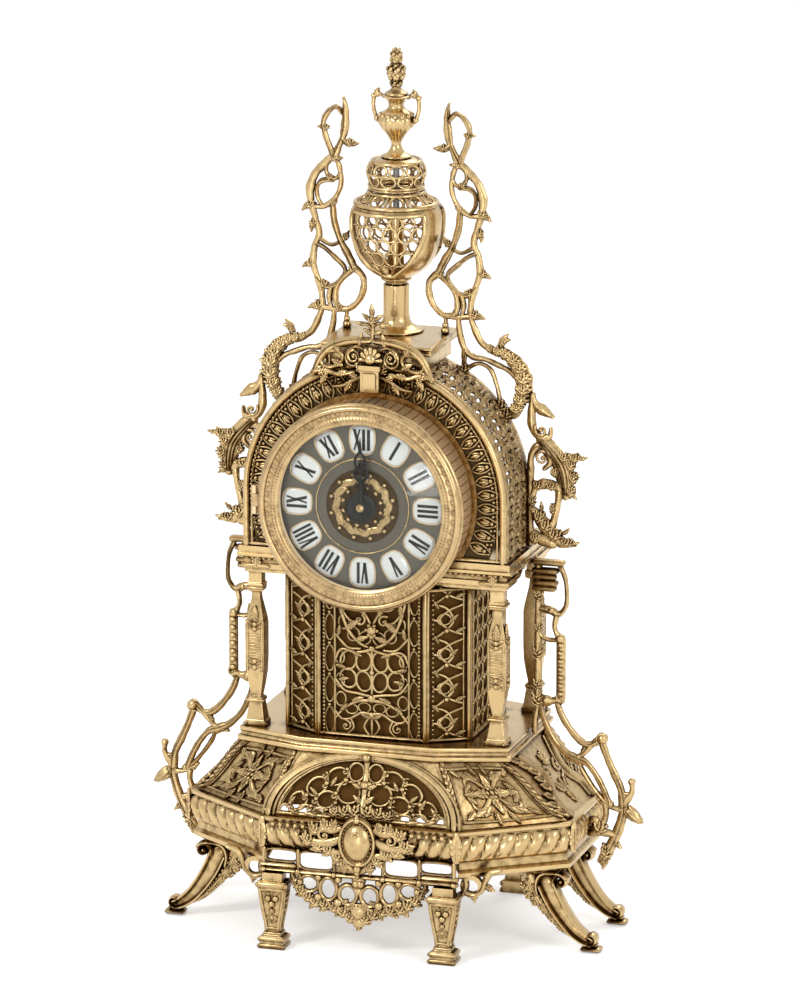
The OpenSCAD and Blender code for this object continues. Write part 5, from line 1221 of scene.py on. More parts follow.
def case_bay(side):
    c = Cast("lantern bay " + facing(side))
    face, right, left = case_places(side)
    h = COLUMN_H
    w = sizes().web
    c.place = face
    # moulded frame and inner uprights
    for s in (-1, 1):
        c.strokes([[(35, 0.5, 3.4), (35, h - 1, 3.4)], [(31.5, 0.5, 1.6), (31.5, h - 1, 1.6)],
                   [(24.5, 1, 2.0), (24.5, h - 1, 2.0)]], s, k=2, base=-1.0, tall=1.2)
        for k in range(40):
            c.bead(s * 31.5, 2 + k * (h - 4) / 39, 1.0, base=0.0)
        for k in range(5):
            z = h * (0.1 + 0.2 * k)
            c.eye(s * 28, z, 3.2, 8.6, 1.3, base=-1.2)
            c.bead(s * 28, z + 10, 1.3, base=-0.6)
    c.strokes([[(-35, 1.2, 3), (0, 1.2, 3), (35, 1.2, 3)], [(-35, h - 2, 3), (0, h - 2, 3),
        (35, h - 2, 3)]], k=2, base=-1.0, tall=1.2)
    # rows of ovals: place, half sizes, share of the web's width and slant
    for s in (-1, 1):
        for r in (0, 1):
            slant = 2 * r - 1
            for u, v, ru, rv, web, turn in ((5.4, 0.365 + 0.13 * r, 5, 6.6, 1, 12 * slant),
                                            (15.6, 0.38 + 0.115 * r, 5.2, 6.4, 1, 20 * slant),
                                            (21.2, 0.36 + 0.15 * r, 2.9, 4.4, 0.7, 0),
                                            (4.6 + 7.6 * r, 0.645 + 0.02 * r, 3.8, 4.4, 0.7, 20),
                                            (20.6 - 2 * r, 0.24 + 0.5 * r, 3.4, 4.6, 0.7, 0),
                                            (4.8 + 8 * r, 0.9 - 0.01 * r, 4, 5, 0.7, -16),
                                            (5 + 8.4 * r, 0.195 - 0.015 * r, 4, 3.2, 0.7, 0)):
                c.eye(s * u, h * v, ru, rv, w * web, turn=s * turn, base=-1.1)
        c.strokes([[(24, h * 0.5, w), (20, h * 0.565, w), (10, h * 0.55, w * 1.2), (0, h * 0.575, 2.6)],
                   [(24, h * 0.37, w), (18, h * 0.3, w), (9, h * 0.285, w * 1.2), (0, h * 0.27, 2.6)],
                   # bow over the foot of the panel
                   [(0, h * 0.245, 3.2), (9, h * 0.235, 2.6), (18, h * 0.185, 2.2),
                    (24, h * 0.115, 1.8)],
                   [(0, h * 0.155, 2.6), (7, h * 0.16, 2.4), (14, h * 0.12, 2), (20, h * 0.115, 1.8),
                    (24, h * 0.16, 1.6)],
                   [(14, h * 0.12, 2), (12, h * 0.06, 1.8), (17, 1, 1.8)],
                   [(2, h * 0.13, 2), (5, h * 0.07, 1.8), (1, 1, 1.8)],
                   # swag and shield at the top
                   [(24, h * 0.98, 2), (21, h * 0.84, 2.4), (16, h * 0.7, 2.6), (9, h * 0.62, 2.4),
                    (3, h * 0.59, 2.2)],
                   [(24, h * 0.66, 1.8), (16, h * 0.58, 2), (8, h * 0.575, 2)],
                   [(1, h * 0.74, 2), (6, h * 0.82, 2), (13, h * 0.84, 2), (20, h * 0.92, 1.6)],
                   [(8, h * 0.74, 2.2), (15, h * 0.76, 2),
                    (21, h * 0.84, 1.8)]], s, base=-0.8, tall=1.1)
        c.volute(s * 17, h * 0.05 + 2, 3.6, 90, 1.1, s, 1.8, base=-0.6)
        c.volute(s * 8, h * 0.76, 4.0, 60, 1.1, s, 2.0, base=-0.4)
        c.leaves(s, [(u, h * v, aim, size) for u, v, aim, size in ((16, 0.7, 140, 9), (20, 0.8, 100, 8),
            (10, 0.63, 160, 8), (22, 0.66, 100, 6), (12, 0.55, 200, 6), (12, 0.24, 160, 7),
            (20, 0.17, 130, 6), (6, 0.15, 200, 6), (5, 0.8, 70, 8), (21, 0.37, 170, 6),
            (23, 0.46, 190, 6))], thick=2.6, base=-0.2)
    c.strokes([[(0, h * 0.27, w), (0, h * 0.42, w * 1.2), (0, h * 0.57, w)],
        [(0, 1, 2), (0, h * 0.06, 2), (0, h * 0.155, 2.6)]], base=-1.0)
    for v, r in ((0.255, 3.2), (0.425, 1.8), (0.58, 2.4), (0.7, 3.8), (0.15, 2.4), (0.66, 2.2)):
        c.bead(0, h * v, r, base=-0.6, tall=0.7)
    for k in range(6):
        c.bead(3.6 * cos(k * 1.047), h * 0.7 + 3.6 * sin(k * 1.047), 1.5, base=0.0)
    # canted grilles
    for place in (right, left):
        c.place = place
        wide = 29.6
        c.strokes([[(1.4, 0.5, 2.8), (1.4, h - 1, 2.8)], [(wide - 1.4, 0.5, 3.6),
            (wide - 1.4, h - 1, 3.6)], [(wide - 5, 0.5, 1.4), (wide - 5, h - 1, 1.4)],
            [(1, 1.2, 2.8), (wide - 1, 1.2, 2.8)], [(1, h - 2, 2.8), (wide - 1, h - 2, 2.8)]], k=2,
            base=-1.0, tall=1.2)
        for k in range(32):
            c.bead(4.6, 2 + k * (h - 4) / 31, 0.95, base=-0.6)
        cell = h / 4.5
        for k in range(5):
            z = k * cell
            c.strokes([[(5, z, w), (12, z + cell * 0.2, w), (18, z + cell * 0.5, w * 1.2),
                (14, z + cell * 0.85, w), (6, z + cell, w)], [(wide - 6, z + cell * 0.1, w),
                (15, z + cell * 0.25, w), (9, z + cell * 0.55, w * 1.2), (15, z + cell * 0.8, w),
                (wide - 6, z + cell * 0.95, w)], [(5, z + cell * 0.55, w), (10, z + cell * 0.5, w)]],
                base=-1.1, tall=1.0)
            c.bead(13.5, z + cell * 0.23, 1.9, base=-0.5)
            c.leaf(16, z + cell * 0.5, 40, 6, 3, thick=2.2, base=-0.5)
            c.leaf(8, z + cell * 0.9, 120, 5, 2.6, thick=2.2, base=-0.5)
            c.leaf(20, z + cell * 0.2, 20, 6, 3, thick=2.2, base=-0.5)
            c.eye(12, z + cell * 0.55, 4.4, 3.6, 1.4, base=-0.9)
    c.v = [(x, y, min(z, COLUMN_Z - 0.3)) for x, y, z in c.v]
    c.make(["dark_relief"], "case", ["case_" + facing(side)])


def case_side(side):
    c = Cast("side grille " + hand(side), lambda u, v, h: (side * (CASE_W - 1.2 + h), u, v + DECK_Z))
    h = COLUMN_H
    w = CANTED_Y - 3
    c.strokes([[(-w, 0.5, 3.2), (-w, h - 1, 3.2)], [(w, 0.5, 3.2), (w, h - 1, 3.2)],
        [(-w, 1.2, 3), (w, 1.2, 3)], [(-w, h - 2, 3), (w, h - 2, 3)]], k=2, tall=1.0)
    rows, cols = 9, 6
    step, pitch = (h - 3) / rows, 2 * w / cols
    for k in range(rows):
        z = 2 + (k + 0.5) * step
        for i in range(cols):
            u = -w + (i + 0.5) * pitch
            c.eye(u, z, pitch * 0.5, step * 0.5, 1.7, n=14, turn=12 * (-1) ** (i + k))
            c.bead(u - pitch / 2, z - step / 2, 2.0, base=0.4, tall=0.8)
            c.leaf(u - pitch / 2, z - step / 2, 90 + 40 * (-1) ** i, 5, 3.4, lobes=0, thick=2.2,
                base=0.3)
    c.make(["dark_relief"], "case", [low_name("case", side)])


def column_relief():
    """Banded relief on the two outer faces of each column."""
    c = Cast("relief on the columns")
    h = COLUMN_H
    for sx, sy in CORNERS:
        for turn in (0, 1):
            def place(u, v, d, sx=sx, sy=sy, turn=turn):
                if turn:
                    return (sx * (COLUMN_AT[0] + 5.9 + d), sy * (COLUMN_AT[1] + u), v + DECK_Z)
                return (sx * COLUMN_AT[0] + u, sy * (COLUMN_AT[1] + 5.4 + d), v + DECK_Z)
            c.place = place
            c.strokes([[(-4.6, h * 0.36, 1.3), (-4.8, h * 0.66, 1.3)], [(4.6, h * 0.36, 1.3),
                (4.8, h * 0.66, 1.3)]], k=2)
            for k in range(7):
                c.stroke([(-4, h * (0.46 + 0.022 * k), 1.3), (4, h * (0.46 + 0.022 * k), 1.3)], k=2)
            for v in (0.38, 0.42, 0.63, 0.66):
                c.bead(0, h * v, 1.9, tall=0.8)
                for s in (-1, 1):
                    c.leaf(s * 1, h * v, 90 - s * 60, 4.4, 2.4, thick=1.8)
            c.stroke([(-2.6, h * 0.35, 1.3), (2.6, h * 0.3, 1.3), (0, h * 0.27, 1.2)], k=4, base=-1.6)
            c.leaf(0, h * 0.68, 90, 9, 5, thick=2.4, base=-0.6)
            for z, half in ((0.015, 7.2), (0.165, 5.2), (0.895, 5.2)):
                c.stroke([(-half, h * z, 1.8), (half, h * z, 1.8)], k=2, base=-0.4)
    c.make(["relief"], "case")


# ---- head ----

def cornice_relief():
    """Beads and leaves along the cornice."""
    c = Cast("beading on the cornice")
    for side in (-1, 1):
        c.place = front_plane(side, 47.5)
        for k in range(46):
            u = -84 + k * 168 / 45
            if side > 0 or abs(u) > 50:
                c.bead(u, ENTAB_Z - 7.4, 1.3, base=1.2)
        for s in (-1, 1):
            c.leaf(s * 78, ENTAB_Z - 13, 90, 10, 7, thick=3, base=0.2)
            c.stroke([(s * 70, ENTAB_Z - 13, 3), (s * 87, ENTAB_Z - 13, 3)], k=2, base=0)
        c.place = lambda u, v, h, side=side: (side * (87.5 + h), u, v)
        for k in range(25):
            c.bead(-44 + k * 88 / 24, ENTAB_Z - 7.4, 1.3, base=1.2)
        # knots over the side soffits
        for u in (-30, -15, 0, 15, 30):
            c.leaf(u, ENTAB_Z - 10 + abs(u) * 0.05, 90 + u, 7, 5, thick=3, base=1.0)
    c.make(["relief"], "case")


def arch_front():
    c = Cast("arched front", lambda u, v, h: (u, ARCH_Y - h, v + DIAL_Z))
    r = ARCH_R
    foot = ENTAB_Z - DIAL_Z

    def arch(radius, w, **how):
        pts = [(radius, foot + 1.2, w), (radius, foot * 0.5, w)]
        pts += [(radius * cos(radians(a)), radius * sin(radians(a)), w) for a in range(0, 181, 6)]
        pts += [(-radius, foot * 0.5, w), (-radius, foot + 1.2, w)]
        c.stroke(pts, k=2, **how)
    arch(r - 2.4, 4.6, base=-1.5, thick=4.8)
    arch(r - 6.0, 1.8, base=-1.2)
    # plate behind the drum; its dark brown ground is painted shade in place of the dark seen through
    # the pierced arch
    ground = len(c.m)
    rings = []
    for k in range(73):
        a = radians(k * 5)
        rings.append([c.place(q * cos(a), max(q * sin(a), foot + 2), d) for q,
            d in ((36, -0.2), (68, -0.2), (68, -2.6), (r - 4, -2.6), (r - 4, -3.6), (36, -3.6))])
    c.rings(rings[:-1], closed=True)
    c.m = [1 if i >= ground and (i - ground) % 6 in (1, 2, 3, 4) else f for i, f in enumerate(c.m)]
    # leaves that radiate between drum and band, over the dark ground of painted shade
    cells = 34
    for k in range(cells):
        a = radians(-22 + 224 * k / (cells - 1))

        def at(q, across, a=a):
            return (q * cos(a) - across * sin(a), q * sin(a) + across * cos(a))
        if at(69, 0)[1] < foot + 3:
            continue
        aim = degrees(a)
        for s in (-1, 1):
            line = [at(68, s * 0.6), at(72, s * 2.8), at(76.5, s * 3.0), at(r - 5, s * 0.8)]
            c.stroke([(u, v, 1.5) for u, v in line], base=-1.4, tall=1.1, k=3)
            u, v = at(74.6, s * 1.3)
            c.bead(u, v, 0.9, wide=3.2, turn=aim - s * 14, base=-0.8, tall=1.3)
        u, v = at(73.6, 0)
        c.bead(u, v, 1.1, wide=3.6, turn=aim, base=-0.5, tall=1.3)
        u, v = at(78.4, 0)
        c.bead(u, v, 1.6, base=-0.8)
        u, v = at(78.6, radians(112 / (cells - 1)) * 78.6)
        c.bead(u, v, 1.3, base=-1.2)
    c.stroke([(-r + 1, foot + 1.4, 3), (r - 1, foot + 1.4, 3)], k=2, base=-1.6)
    for k in range(100):
        a = radians(-20 + 220 * k / 99)
        c.bead((r - 5.8) * cos(a), (r - 5.8) * sin(a), 0.95, base=-0.3)
    c.make(["relief", "inside"], "case", ["arch_front"], angle=60)


def arch_vault():
    c = Cast("pierced vault")
    y0, y1 = ARCH_Y + 3.8, low_high("arch_vault")[1][1]
    r = ARCH_R - 1.2
    foot = ENTAB_Z - DIAL_Z

    def place(u, v, h):
        # u runs along the vault's depth, v is the arc's length from the right foot
        if v < -foot:
            return (r + h, u, ENTAB_Z + v)
        a = (v + foot) / r
        if a > pi:
            return (-r - h, u, DIAL_Z - (a - pi) * r)
        return ((r + h) * cos(a), u, DIAL_Z + (r + h) * sin(a))
    c.place = place
    total = -2 * foot + pi * r
    for u, w in ((y0 + 2, 5), (y0 + 16, 2.6), (y0 + 30, 2.6), (y1 - 2, 5)):
        c.stroke([(u, total * k / 60, w) for k in range(61)], k=1, thick=2.6)
    cells = 32
    step = total / cells
    for k in range(cells):
        v = step * (k + 0.5)
        c.stroke([(y0, v - step / 2, 2.8), (y1, v - step / 2, 2.8)], k=8, thick=2.4)
        for i, u in enumerate((y0 + 9, y0 + 23, y0 + 37)):
            way = 1 if (i + k) % 2 else -1
            c.stroke([(u - 6.5, v - way * 3.4, 2.6), (u, v + way * 1.6, 3.0), (u + 6.5, v - way * 3.4,
                2.6)], k=3, thick=2.4)
            c.bead(u, v + way * 1.6, 2.5, base=0.5, tall=0.7)
            for h in (-1, 1):
                c.leaf(u, v, 90 * way - h * 74, 6.6, 4.6, lobes=1, thick=2.4, base=0.5)
                c.leaf(u + h * 6.5, v - way * 3, -90 * way + h * 40, 5.4, 3.8, lobes=0, thick=2.2,
                    base=0.6)
    c.stroke([(y0, total, 2.4), (y1, total, 2.4)], k=8, thick=2.6)
    c.make(["dark_relief"], "case", ["arch_vault"])


def crest():
    c = Cast("scrolled crest", lambda u, v, h: (u, ARCH_Y - 2.0 - h, v))
    top = CAP_Z + 5.5
    for s in (-1, 1):
        lines = [[(s * 2, top - 1.4, 5), (s * 15, top - 2.2, 5.6), (s * 27, top - 6.6, 5.8),
            (s * 34, top - 14, 5.2), (s * 38.5, top - 24, 3.8)], [(s * 38.5, top - 23, 3.4),
            (s * 31, top - 22, 4), (s * 22, top - 24, 3.6), (s * 12, top - 22, 3.4)]]
        c.strokes(lines + [[(s * 4, top - 8, 3), (s * 10, top - 5.4, 3), (s * 16, top - 9, 2.8),
            (s * 14, top - 15, 2.4)], [(s * 5, top - 24, 3), (s * 12, top - 27, 3.6),
            (s * 19, top - 31, 3), (s * 26, top - 32, 2)]], thick=4.4, k=6)
        c.stroke(beside(lines[0], 0.45 * s, 1.6), thick=5.6, k=2)
        c.eye(s * 26.5, top - 14.4, 7.6, 5.0, 3.0, turn=s * -22, thick=4)
        c.eye(s * 12.6, top - 13, 4.6, 5.0, 2.8, thick=4)
        c.volute(s * 12, top - 12, 4.4, 90, 1.2, -s, 2.0, base=1.2)
        for u, v, aim in ((8, 4, 100), (20, 18, 30), (34, 20, -30), (7, 17, 200), (17, 22, -20),
                (9, 26, 30), (22, 9, 60), (30, 24, -60), (14, 28, -60)):
            c.leaf(s * u, top - v, aim if s > 0 else 180 - aim, 7, 4.6, thick=3.2, base=0.8)
        c.clump(s * 6.5, top - 19, 3.6, 9, 1.8)
        c.clump(s * 33, top - 22, 3.0, 7, 1.8)
    # keystone with a shell over it
    c.block((-6, ARCH_Y - 8.6, top - 33), (12, 9, 15.5))
    c.block((-7, ARCH_Y - 9.4, top - 19), (14, 9.6, 3))
    c.block((-4, ARCH_Y - 9.4, top - 31), (8, 1.2, 10))
    for k in range(7):
        a = radians(90 + (k - 3) * 27)
        c.stroke([(0, top - 14, 2.4), (6.4 * cos(a), top - 14 + 8 * sin(a), 3.4)], base=4.2, k=3)
    c.bead(0, top - 12.4, 4.2, base=4.2, tall=0.8)
    c.make(["smooth"], "case", ["crest"])
    g = Cast("sprig on the crest", lambda u, v, h: (u, ARCH_Y - 2.0 - h, v + top - 1))
    g.strokes([[(0, 1, 3.6), (0.6, 8, 2.6), (-0.4, 16, 2.8)], [(0, 8, 2.2), (4, 11.4, 2.2),
        (8, 10, 2.4)], [(0, 7, 2.2), (-3, 10, 2.2), (-6, 10, 2)]], thick=3.0)
    g.leaves(1, ((0, 15.5, 95, 7), (-1.4, 13, 145, 6), (1.6, 13, 35, 6), (7, 10, 10, 5),
        (-5, 10, 170, 5), (0, 4, 150, 6), (1, 4, 20, 6)), wide=0.55, thick=2.6)
    g.clump(0.3, 13, 2.6, 7, 1.3)
    g.bead(7, 10, 2.2)
    g.make(["relief"], "case", ["crest_sprig"])


def roof_relief():
    """Moulded edge and corner acorns of the roof cap."""
    c = Cast("edge of the roof cap")
    low, high = low_high("roof_cap")
    for z, out in ((CAP_Z - 1.0, 0.4), (CAP_Z - 4.4, 0.0)):
        c.place = lambda u, v, h: (u, v, h)
        edge = [(low[0] - out + 1, low[1] - out + 1), (high[0] + out - 1, low[1] - out + 1),
                (high[0] + out - 1, high[1] + out - 1), (low[0] - out + 1, high[1] + out - 1)]
        for i in range(4):
            a, b = edge[i], edge[(i + 1) % 4]
            c.stroke([(a[0], a[1], 2.6), (b[0], b[1], 2.6)], k=2, base=z)
    for s in (-1, 1):
        c.place = lambda u, v, h, s=s: (s * (32.5 + u), -h - 0.5, v + CAP_Z)
        c.bead(0, 2, 3.0)
        c.bead(0, 5.6, 2.2)
    c.make(["smooth"], "case")


# ---- urn ----

def round_profile(points, k):
    """Smooth profile through [radius, height] points, k steps a span."""
    return [tuple(p) for p in spline(points, k)]


URN_OUT = [(6.5, 0), (10, 2), (16, 5.5), (22, 11), (26.5, 20), (28.6, 29), (29.4, 38), (29.0, 44),
    (26.5, 49), (21, 53.5), (17.6, 57), (17, 60)]


def turned_place(profile, z):
    """Place function on a turned form: u degrees from the front, v millimetres over z."""
    hs, rs = [p[1] for p in profile], [p[0] for p in profile]

    def place(u, v, h):
        r = float(np.interp(v, hs, rs)) + h
        a = radians(u - 90)
        return (r * cos(a), r * sin(a), z + v)
    return place


def radius_at(profile, z):
    return float(np.interp(z, [p[1] for p in profile], [p[0] for p in profile]))


def ring_on(c, place, profile, u, z, wide, tall, w, lift=-0.6):
    """Ring round an opening of a turned form, wide and tall millimetres from its middle."""
    r = radius_at(profile, z)
    pts = [(u + degrees(wide / r) * cos(a), z + tall * sin(a), 1) for a in (pi * j / 9
        for j in range(19))]
    band(c, place, np.array(pts), w, lift)


def urn():
    c = Cast("pierced urn")
    profile = round_profile(URN_OUT, 8)
    place = turned_place(profile, URN_Z)
    wall, foot, top = 2.0, 5.0, 46.0

    def edge(u, half):
        """Lower edge of a pierced panel at angle u from its middle."""
        return foot + (top - foot) * (0.7 if half < 60 else 0.4) * min(1.0, abs(u) / half) ** 2.6

    def skin(a0, a1, z0, z1):
        n, m = max(2, int((a1 - a0) / 3)), 12
        for lift in (0.0, -wall):
            verts = []
            for j in range(m + 1):
                for i in range(n + 1):
                    u = a0 + (a1 - a0) * i / n
                    verts.append(place(u, z0(u) + (z1(u) - z0(u)) * j / m, lift))
            c.add(verts, [(j * (n + 1) + i, j * (n + 1) + i + 1, (j + 1) * (n + 1) + i + 1,
                (j + 1) * (n + 1) + i) for j in range(m) for i in range(n)])
    for mid, half, solid in ((0, 54.0, 51.0), (180, 75.0, 51.0)):
        a, b = mid - half, mid + half
        skin(a, b, lambda u: 0.2, lambda u, mid=mid, half=half: edge(u - mid, half))
        skin(a, b, lambda u: top, lambda u: 49.5)
        skin(b, b + solid, lambda u: 0.2, lambda u: 49.5)
        # moulded frame of the panel
        line = [(mid + u, edge(u, half), 1) for u in (half * (k / 12 - 1) for k in range(25))]
        for pts, w in ((line, 1.7), ([(a, edge(half, half), 1), (a, top, 1)], 1.7),
                ([(b, edge(half, half), 1), (b, top, 1)], 1.7),
                ([(a, top, 1), (mid, top, 1), (b, top, 1)], 1.4)):
            band(c, place, spline(pts, 2 if len(pts) > 3 else 10), w, 0.2)
        # rows of rings that touch
        for row, (z, size) in enumerate(((9.6, 3.7), (17.6, 4.4), (25.8, 4.4), (34.0, 4.4),
                (41.8, 4.0))):
            pitch = degrees(2.12 * size / radius_at(profile, z))
            for i in range(-6, 7):
                u = (i + 0.5 * (row % 2)) * pitch
                if abs(u) < half - pitch * 0.42 and z - size * 0.5 > edge(u, half):
                    ring_on(c, place, profile, mid + u, z, size, size, 0.7)
    # pierced collar
    for k in range(10):
        ring_on(c, place, profile, 18 + k * 36, 53.2, 4.6, 2.9, 0.9)
        band(c, place, spline([(k * 36, 50, 2), (k * 36, 53, 1.4), (k * 36, 56.4, 2)], 4), 1.1, -0.5)
    for z, w in ((49.6, 1.8), (56.6, 1.4), (59.2, 1.2), (1.2, 1.6)):
        band(c, place, np.array([(6 * k, z, 2) for k in range(61)]), w, -0.3)
    c.make(["smooth"], "case", ["urn"], angle=60)


def band(c, place, line, half, lift):
    """Round bead along a line of [angle, height, width] on a turned form, half its thickness in mm."""
    rings = []
    n = len(line)
    closed = bool(np.allclose(line[0][:2], line[-1][:2])) or abs(line[-1][0] - line[0][0]) > 359
    for i in range(n - 1 if closed else n):
        p = np.array(place(line[i][0], line[i][1], lift))
        q = np.array(place(line[min(i + 1, n - 1)][0], line[min(i + 1, n - 1)][1], lift))
        o = np.array(place(line[max(i - 1, 0)][0], line[max(i - 1, 0)][1], lift))
        up = np.array(place(line[i][0], line[i][1], lift + 1)) - p
        t = q - o
        t = t / (np.linalg.norm(t) or 1)
        side = np.cross(t, up)
        side = side / (np.linalg.norm(side) or 1)
        up = up / (np.linalg.norm(up) or 1)
        rings.append([tuple(p + half * (cos(a) * side + sin(a) * up))
                      for a in turns(8)])
    c.rings(rings, closed=closed)


def urn_lid():
    c = Cast("pierced lid of the urn")
    profile = round_profile([(17.6, 0), (17.4, 2), (18.4, 5.5), (18.9, 9), (18.0, 13), (15.5, 16.4),
        (11.0, 18.0)], 5)
    place = turned_place(profile, LID_Z)
    for z, w in ((0.8, 1.3), (16.2, 1.4)):
        band(c, place, np.array([(6 * k, z, 1) for k in range(61)]), w, -0.4)
    for k in range(10):
        for z, size, shift in ((5.4, 3.7, 0), (12.1, 3.6, 18)):
            ring_on(c, place, profile, 36 * k + shift, z, size * 1.36, size, 0.9)
    c.lathe([(2.4, LID_Z + 18.4), (10.5, LID_Z + 18.4), (12.5, LID_Z + 17.6), (15.6, LID_Z + 15.9),
        (14.8, LID_Z + 14.8), (10.5, LID_Z + 16.5), (2.4, LID_Z + 16.5)], n=64)
    c.make(["smooth"], "case", ["urn_lid"], angle=60)


def vase():
    c = Cast("two-handled vase")
    h = FLOWER_Z - VASE_Z
    prof = round_profile([(9.5, 0.3), (9.3, 1.4), (6.2, 2.8), (3.8, 6), (3.2, 10), (5.4, 14.5),
        (9.0, 19), (10.9, 23), (10.8, 26), (8.6, 29), (5.4, 31.6), (4.8, 34), (6.4, 37), (9.3, 39)], 4)
    prof = [(r, VASE_Z + min(z, h - 1)) for r, z in prof] + [(9.4, VASE_Z + h - 0.4), (8.6, VASE_Z + h),
        (2.2, VASE_Z + h), (2.2, VASE_Z)]

    def flute(a, r, z):
        local = z - VASE_Z
        amount = max(0.0, min(1.0, (local - 9) / 4)) * max(0.0, min(1.0, (28 - local) / 4))
        return 0.8 * amount * abs(cos(7 * a)) - 0.3 * amount if r > 3 else 0.0
    c.lathe(prof, n=112, wave=flute)
    c.place = lambda u, v, d: (u, -d, v + VASE_Z)
    for s in (-1, 1):
        c.strokes([[(8, 38.4, 2.4), (11.5, 40.4, 2.8), (14.4, 38, 2.8), (15.0, 32, 2.6),
            (13.4, 26, 2.8), (9.6, 21, 3.4)], [(12, 39, 2.2), (12.6, 42, 2.4), (11.4, 43.4, 1.6)]], s,
            thick=3.0)
        c.bead(s * 14.8, 38.6, 2.0)
        c.bead(s * 12.4, 24.4, 2.4)
        c.clump(s * 12.4, 41, 1.8, 7, 1.0)
    for k in range(14):
        a = 2 * pi * k / 14
        c.place = lambda u, v, d, a=a: ((10.2 + d) * cos(a + u / 10.2), (10.2 + d) * sin(a + u / 10.2),
            v + VASE_Z)
        c.bead(0, 27.2, 1.6, base=-0.2)
    c.make(["smooth"], "case", ["vase"], angle=60)


def flower():
    c = Cast("flower finial")
    z = FLOWER_Z
    top = low_high("flower_finial")[1][2]
    prof = round_profile([(7.4, 0.0), (7, 1.4), (4.4, 3), (2.8, 5), (2.6, 8), (3.2, 10), (5.0, 12.6),
        (5.0, 15), (3.6, 17.4), (2.4, 19.4), (3.2, 22), (3.2, 25), (2.2, 27)], 4)
    c.lathe([(r, z + v) for r, v in prof] + [(0.3, z + 28), (0.3, z)], n=40)
    for level, radius, size, count in ((6.5, 2.6, 1.6, 6), (11.5, 3.8, 2.3, 6), (15.2, 4.2, 2.2, 7),
            (17.4, 2.6, 1.8, 5), (21.6, 2.4, 1.8, 5), (24.6, 2.2, 1.8, 5), (27.4, 1.2, 1.6, 3)):
        for k in range(count):
            a = 2 * pi * (k + 0.5 * (level % 2)) / count
            c.place = lambda u, v, d, a=a, radius=radius: ((radius + d) * cos(a) - u * sin(a),
                                                           (radius + d) * sin(a) + u * cos(a), z + v)
            c.bead(0, level, size, tall=0.9)
            c.bead(1, level + 1.4, size * 0.6, wide=size * 0.9, turn=60, base=size * 0.5)
    c.v = [(x, y, min(q, top - 0.05)) for x, y, q in c.v]
    c.make(["relief"], "case", ["flower_finial"])


# ---- clock ----

def drum_ridges():
    c = Cast("engraved lines round the drum")
    count = sizes().ridges
    r = low_high("drum")[1][2] - DIAL_Z
    for k in range(count):
        a = 2 * pi * k / count
        y0, y1 = DRUM_Y + 5, ARCH_Y - 1
        if DIAL_Z + r * sin(a) < ENTAB_Z + 1:
            y1 = -55
        c.place = lambda u, v, h, a=a: ((r + h) * cos(a + v / r), u, DIAL_Z + (r + h) * sin(a + v / r))
        c.stroke([(y0, 0, 0.9), ((y0 + y1) / 2, 0, 0.7), (y1, 0, 0.5)], k=2, sides=6, base=0.05,
            tall=0.7)
    for y in (DRUM_Y + 2.2, DRUM_Y + 5.0):
        c.lathe([(r + 0.1 + 0.7 * cos(b), y + 0.8 * sin(b)) for b in turns(8)],
                (0, DIAL_Z), 120, "y")
    c.make(["smooth"], "case")


def on_ring(radius, pitch, a, face):
    """Place function at angle a of a ring round the dial's axis: u runs along it, v outwards."""
    return lambda u, v, h: ((radius + v) * cos(a + u / pitch), face - h,
        DIAL_Z + (radius + v) * sin(a + u / pitch))


def bezel():
    c = Cast("engraved bezel")
    back = low_high("bezel")[1][1] - 2.0
    # outer ring, engraved band, inner slope
    c.turned([(56, 0), (66.4, 0), (67.1, 0.5), (67.5, 1.4), (67.4, 2.4), (66.6, 3.2), (66.2, 3.4),
        (66.0, 4.4), (65.2, 5.4), (64.2, 5.9), (63.2, 5.7), (62.6, 5.0), (62.4, 4.4), (60.6, 4.2),
        (58.4, 4.4), (57.8, 4.9), (57.0, 5.0), (56.4, 4.6), (55.2, 4.3), (54.2, 4.0), (53.5, 3.5),
        (53.5, 3.2), (56, 3.2)], back, 240)
    # leaf-and-bead band
    for k in range(120):
        c.place = on_ring(61.4, 61, 2 * pi * k / 120, back - 4.2)
        c.stroke([(-1.1, -1.6, 0.8), (0.2, -0.4, 1.1), (-0.9, 1.2, 0.7)] if k % 2 else [(0.9, 1.3, 0.7),
            (-0.2, 0.2, 1.1), (1.0, -1.4, 0.8)], k=3, sides=6, tall=0.9)
    # milled inner edge
    for k in range(168):
        c.place = on_ring(57.2, 57, 2 * pi * k / 168, back - 4.8)
        c.stroke([(0, -0.9, 0.9), (0, 0.9, 1.1)], k=1, sides=6, tall=0.8)
    # knuckle at the hinge
    low, high = low_high("hinge_pin")
    x, y = (low[0] + high[0]) / 2, (low[1] + high[1]) / 2
    rings = []
    for z in (-4, 4):
        rings.append([(x + 2 * cos(a), y + 2 * sin(a), DIAL_Z + z) for a in turns(16)])
    c.rings(rings)
    c.block((x, y - 2, DIAL_Z - 4), (4.5, 2, 8))
    c.make(["bezel"], "bezel_ring", ["bezel"], angle=45)


# half outline of a plaque, from its foot to its head
PLAQUE = [(1.7, -9.4), (4.4, -8.9), (6.9, -6.4), (8.0, -2), (8.1, 2), (7.6, 6), (5, 8.4), (1.9, 9.2)]
PLAQUE_R = 43
# strokes of each letter: from, to and width, with heights as a share of half the letter's
BARS = {"I": [((0, -1), (0, 1), 1.9)], "V": [((-1.7, 1), (0, -1), 1.9), ((1.7, 1), (0, -1), 1.15)],
        "X": [((-1.8, 1), (1.8, -1), 1.9), ((1.8, 1), (-1.8, -1), 1.1)]}
LETTER_W = {"I": 3.2, "V": 5.0, "X": 5.4}


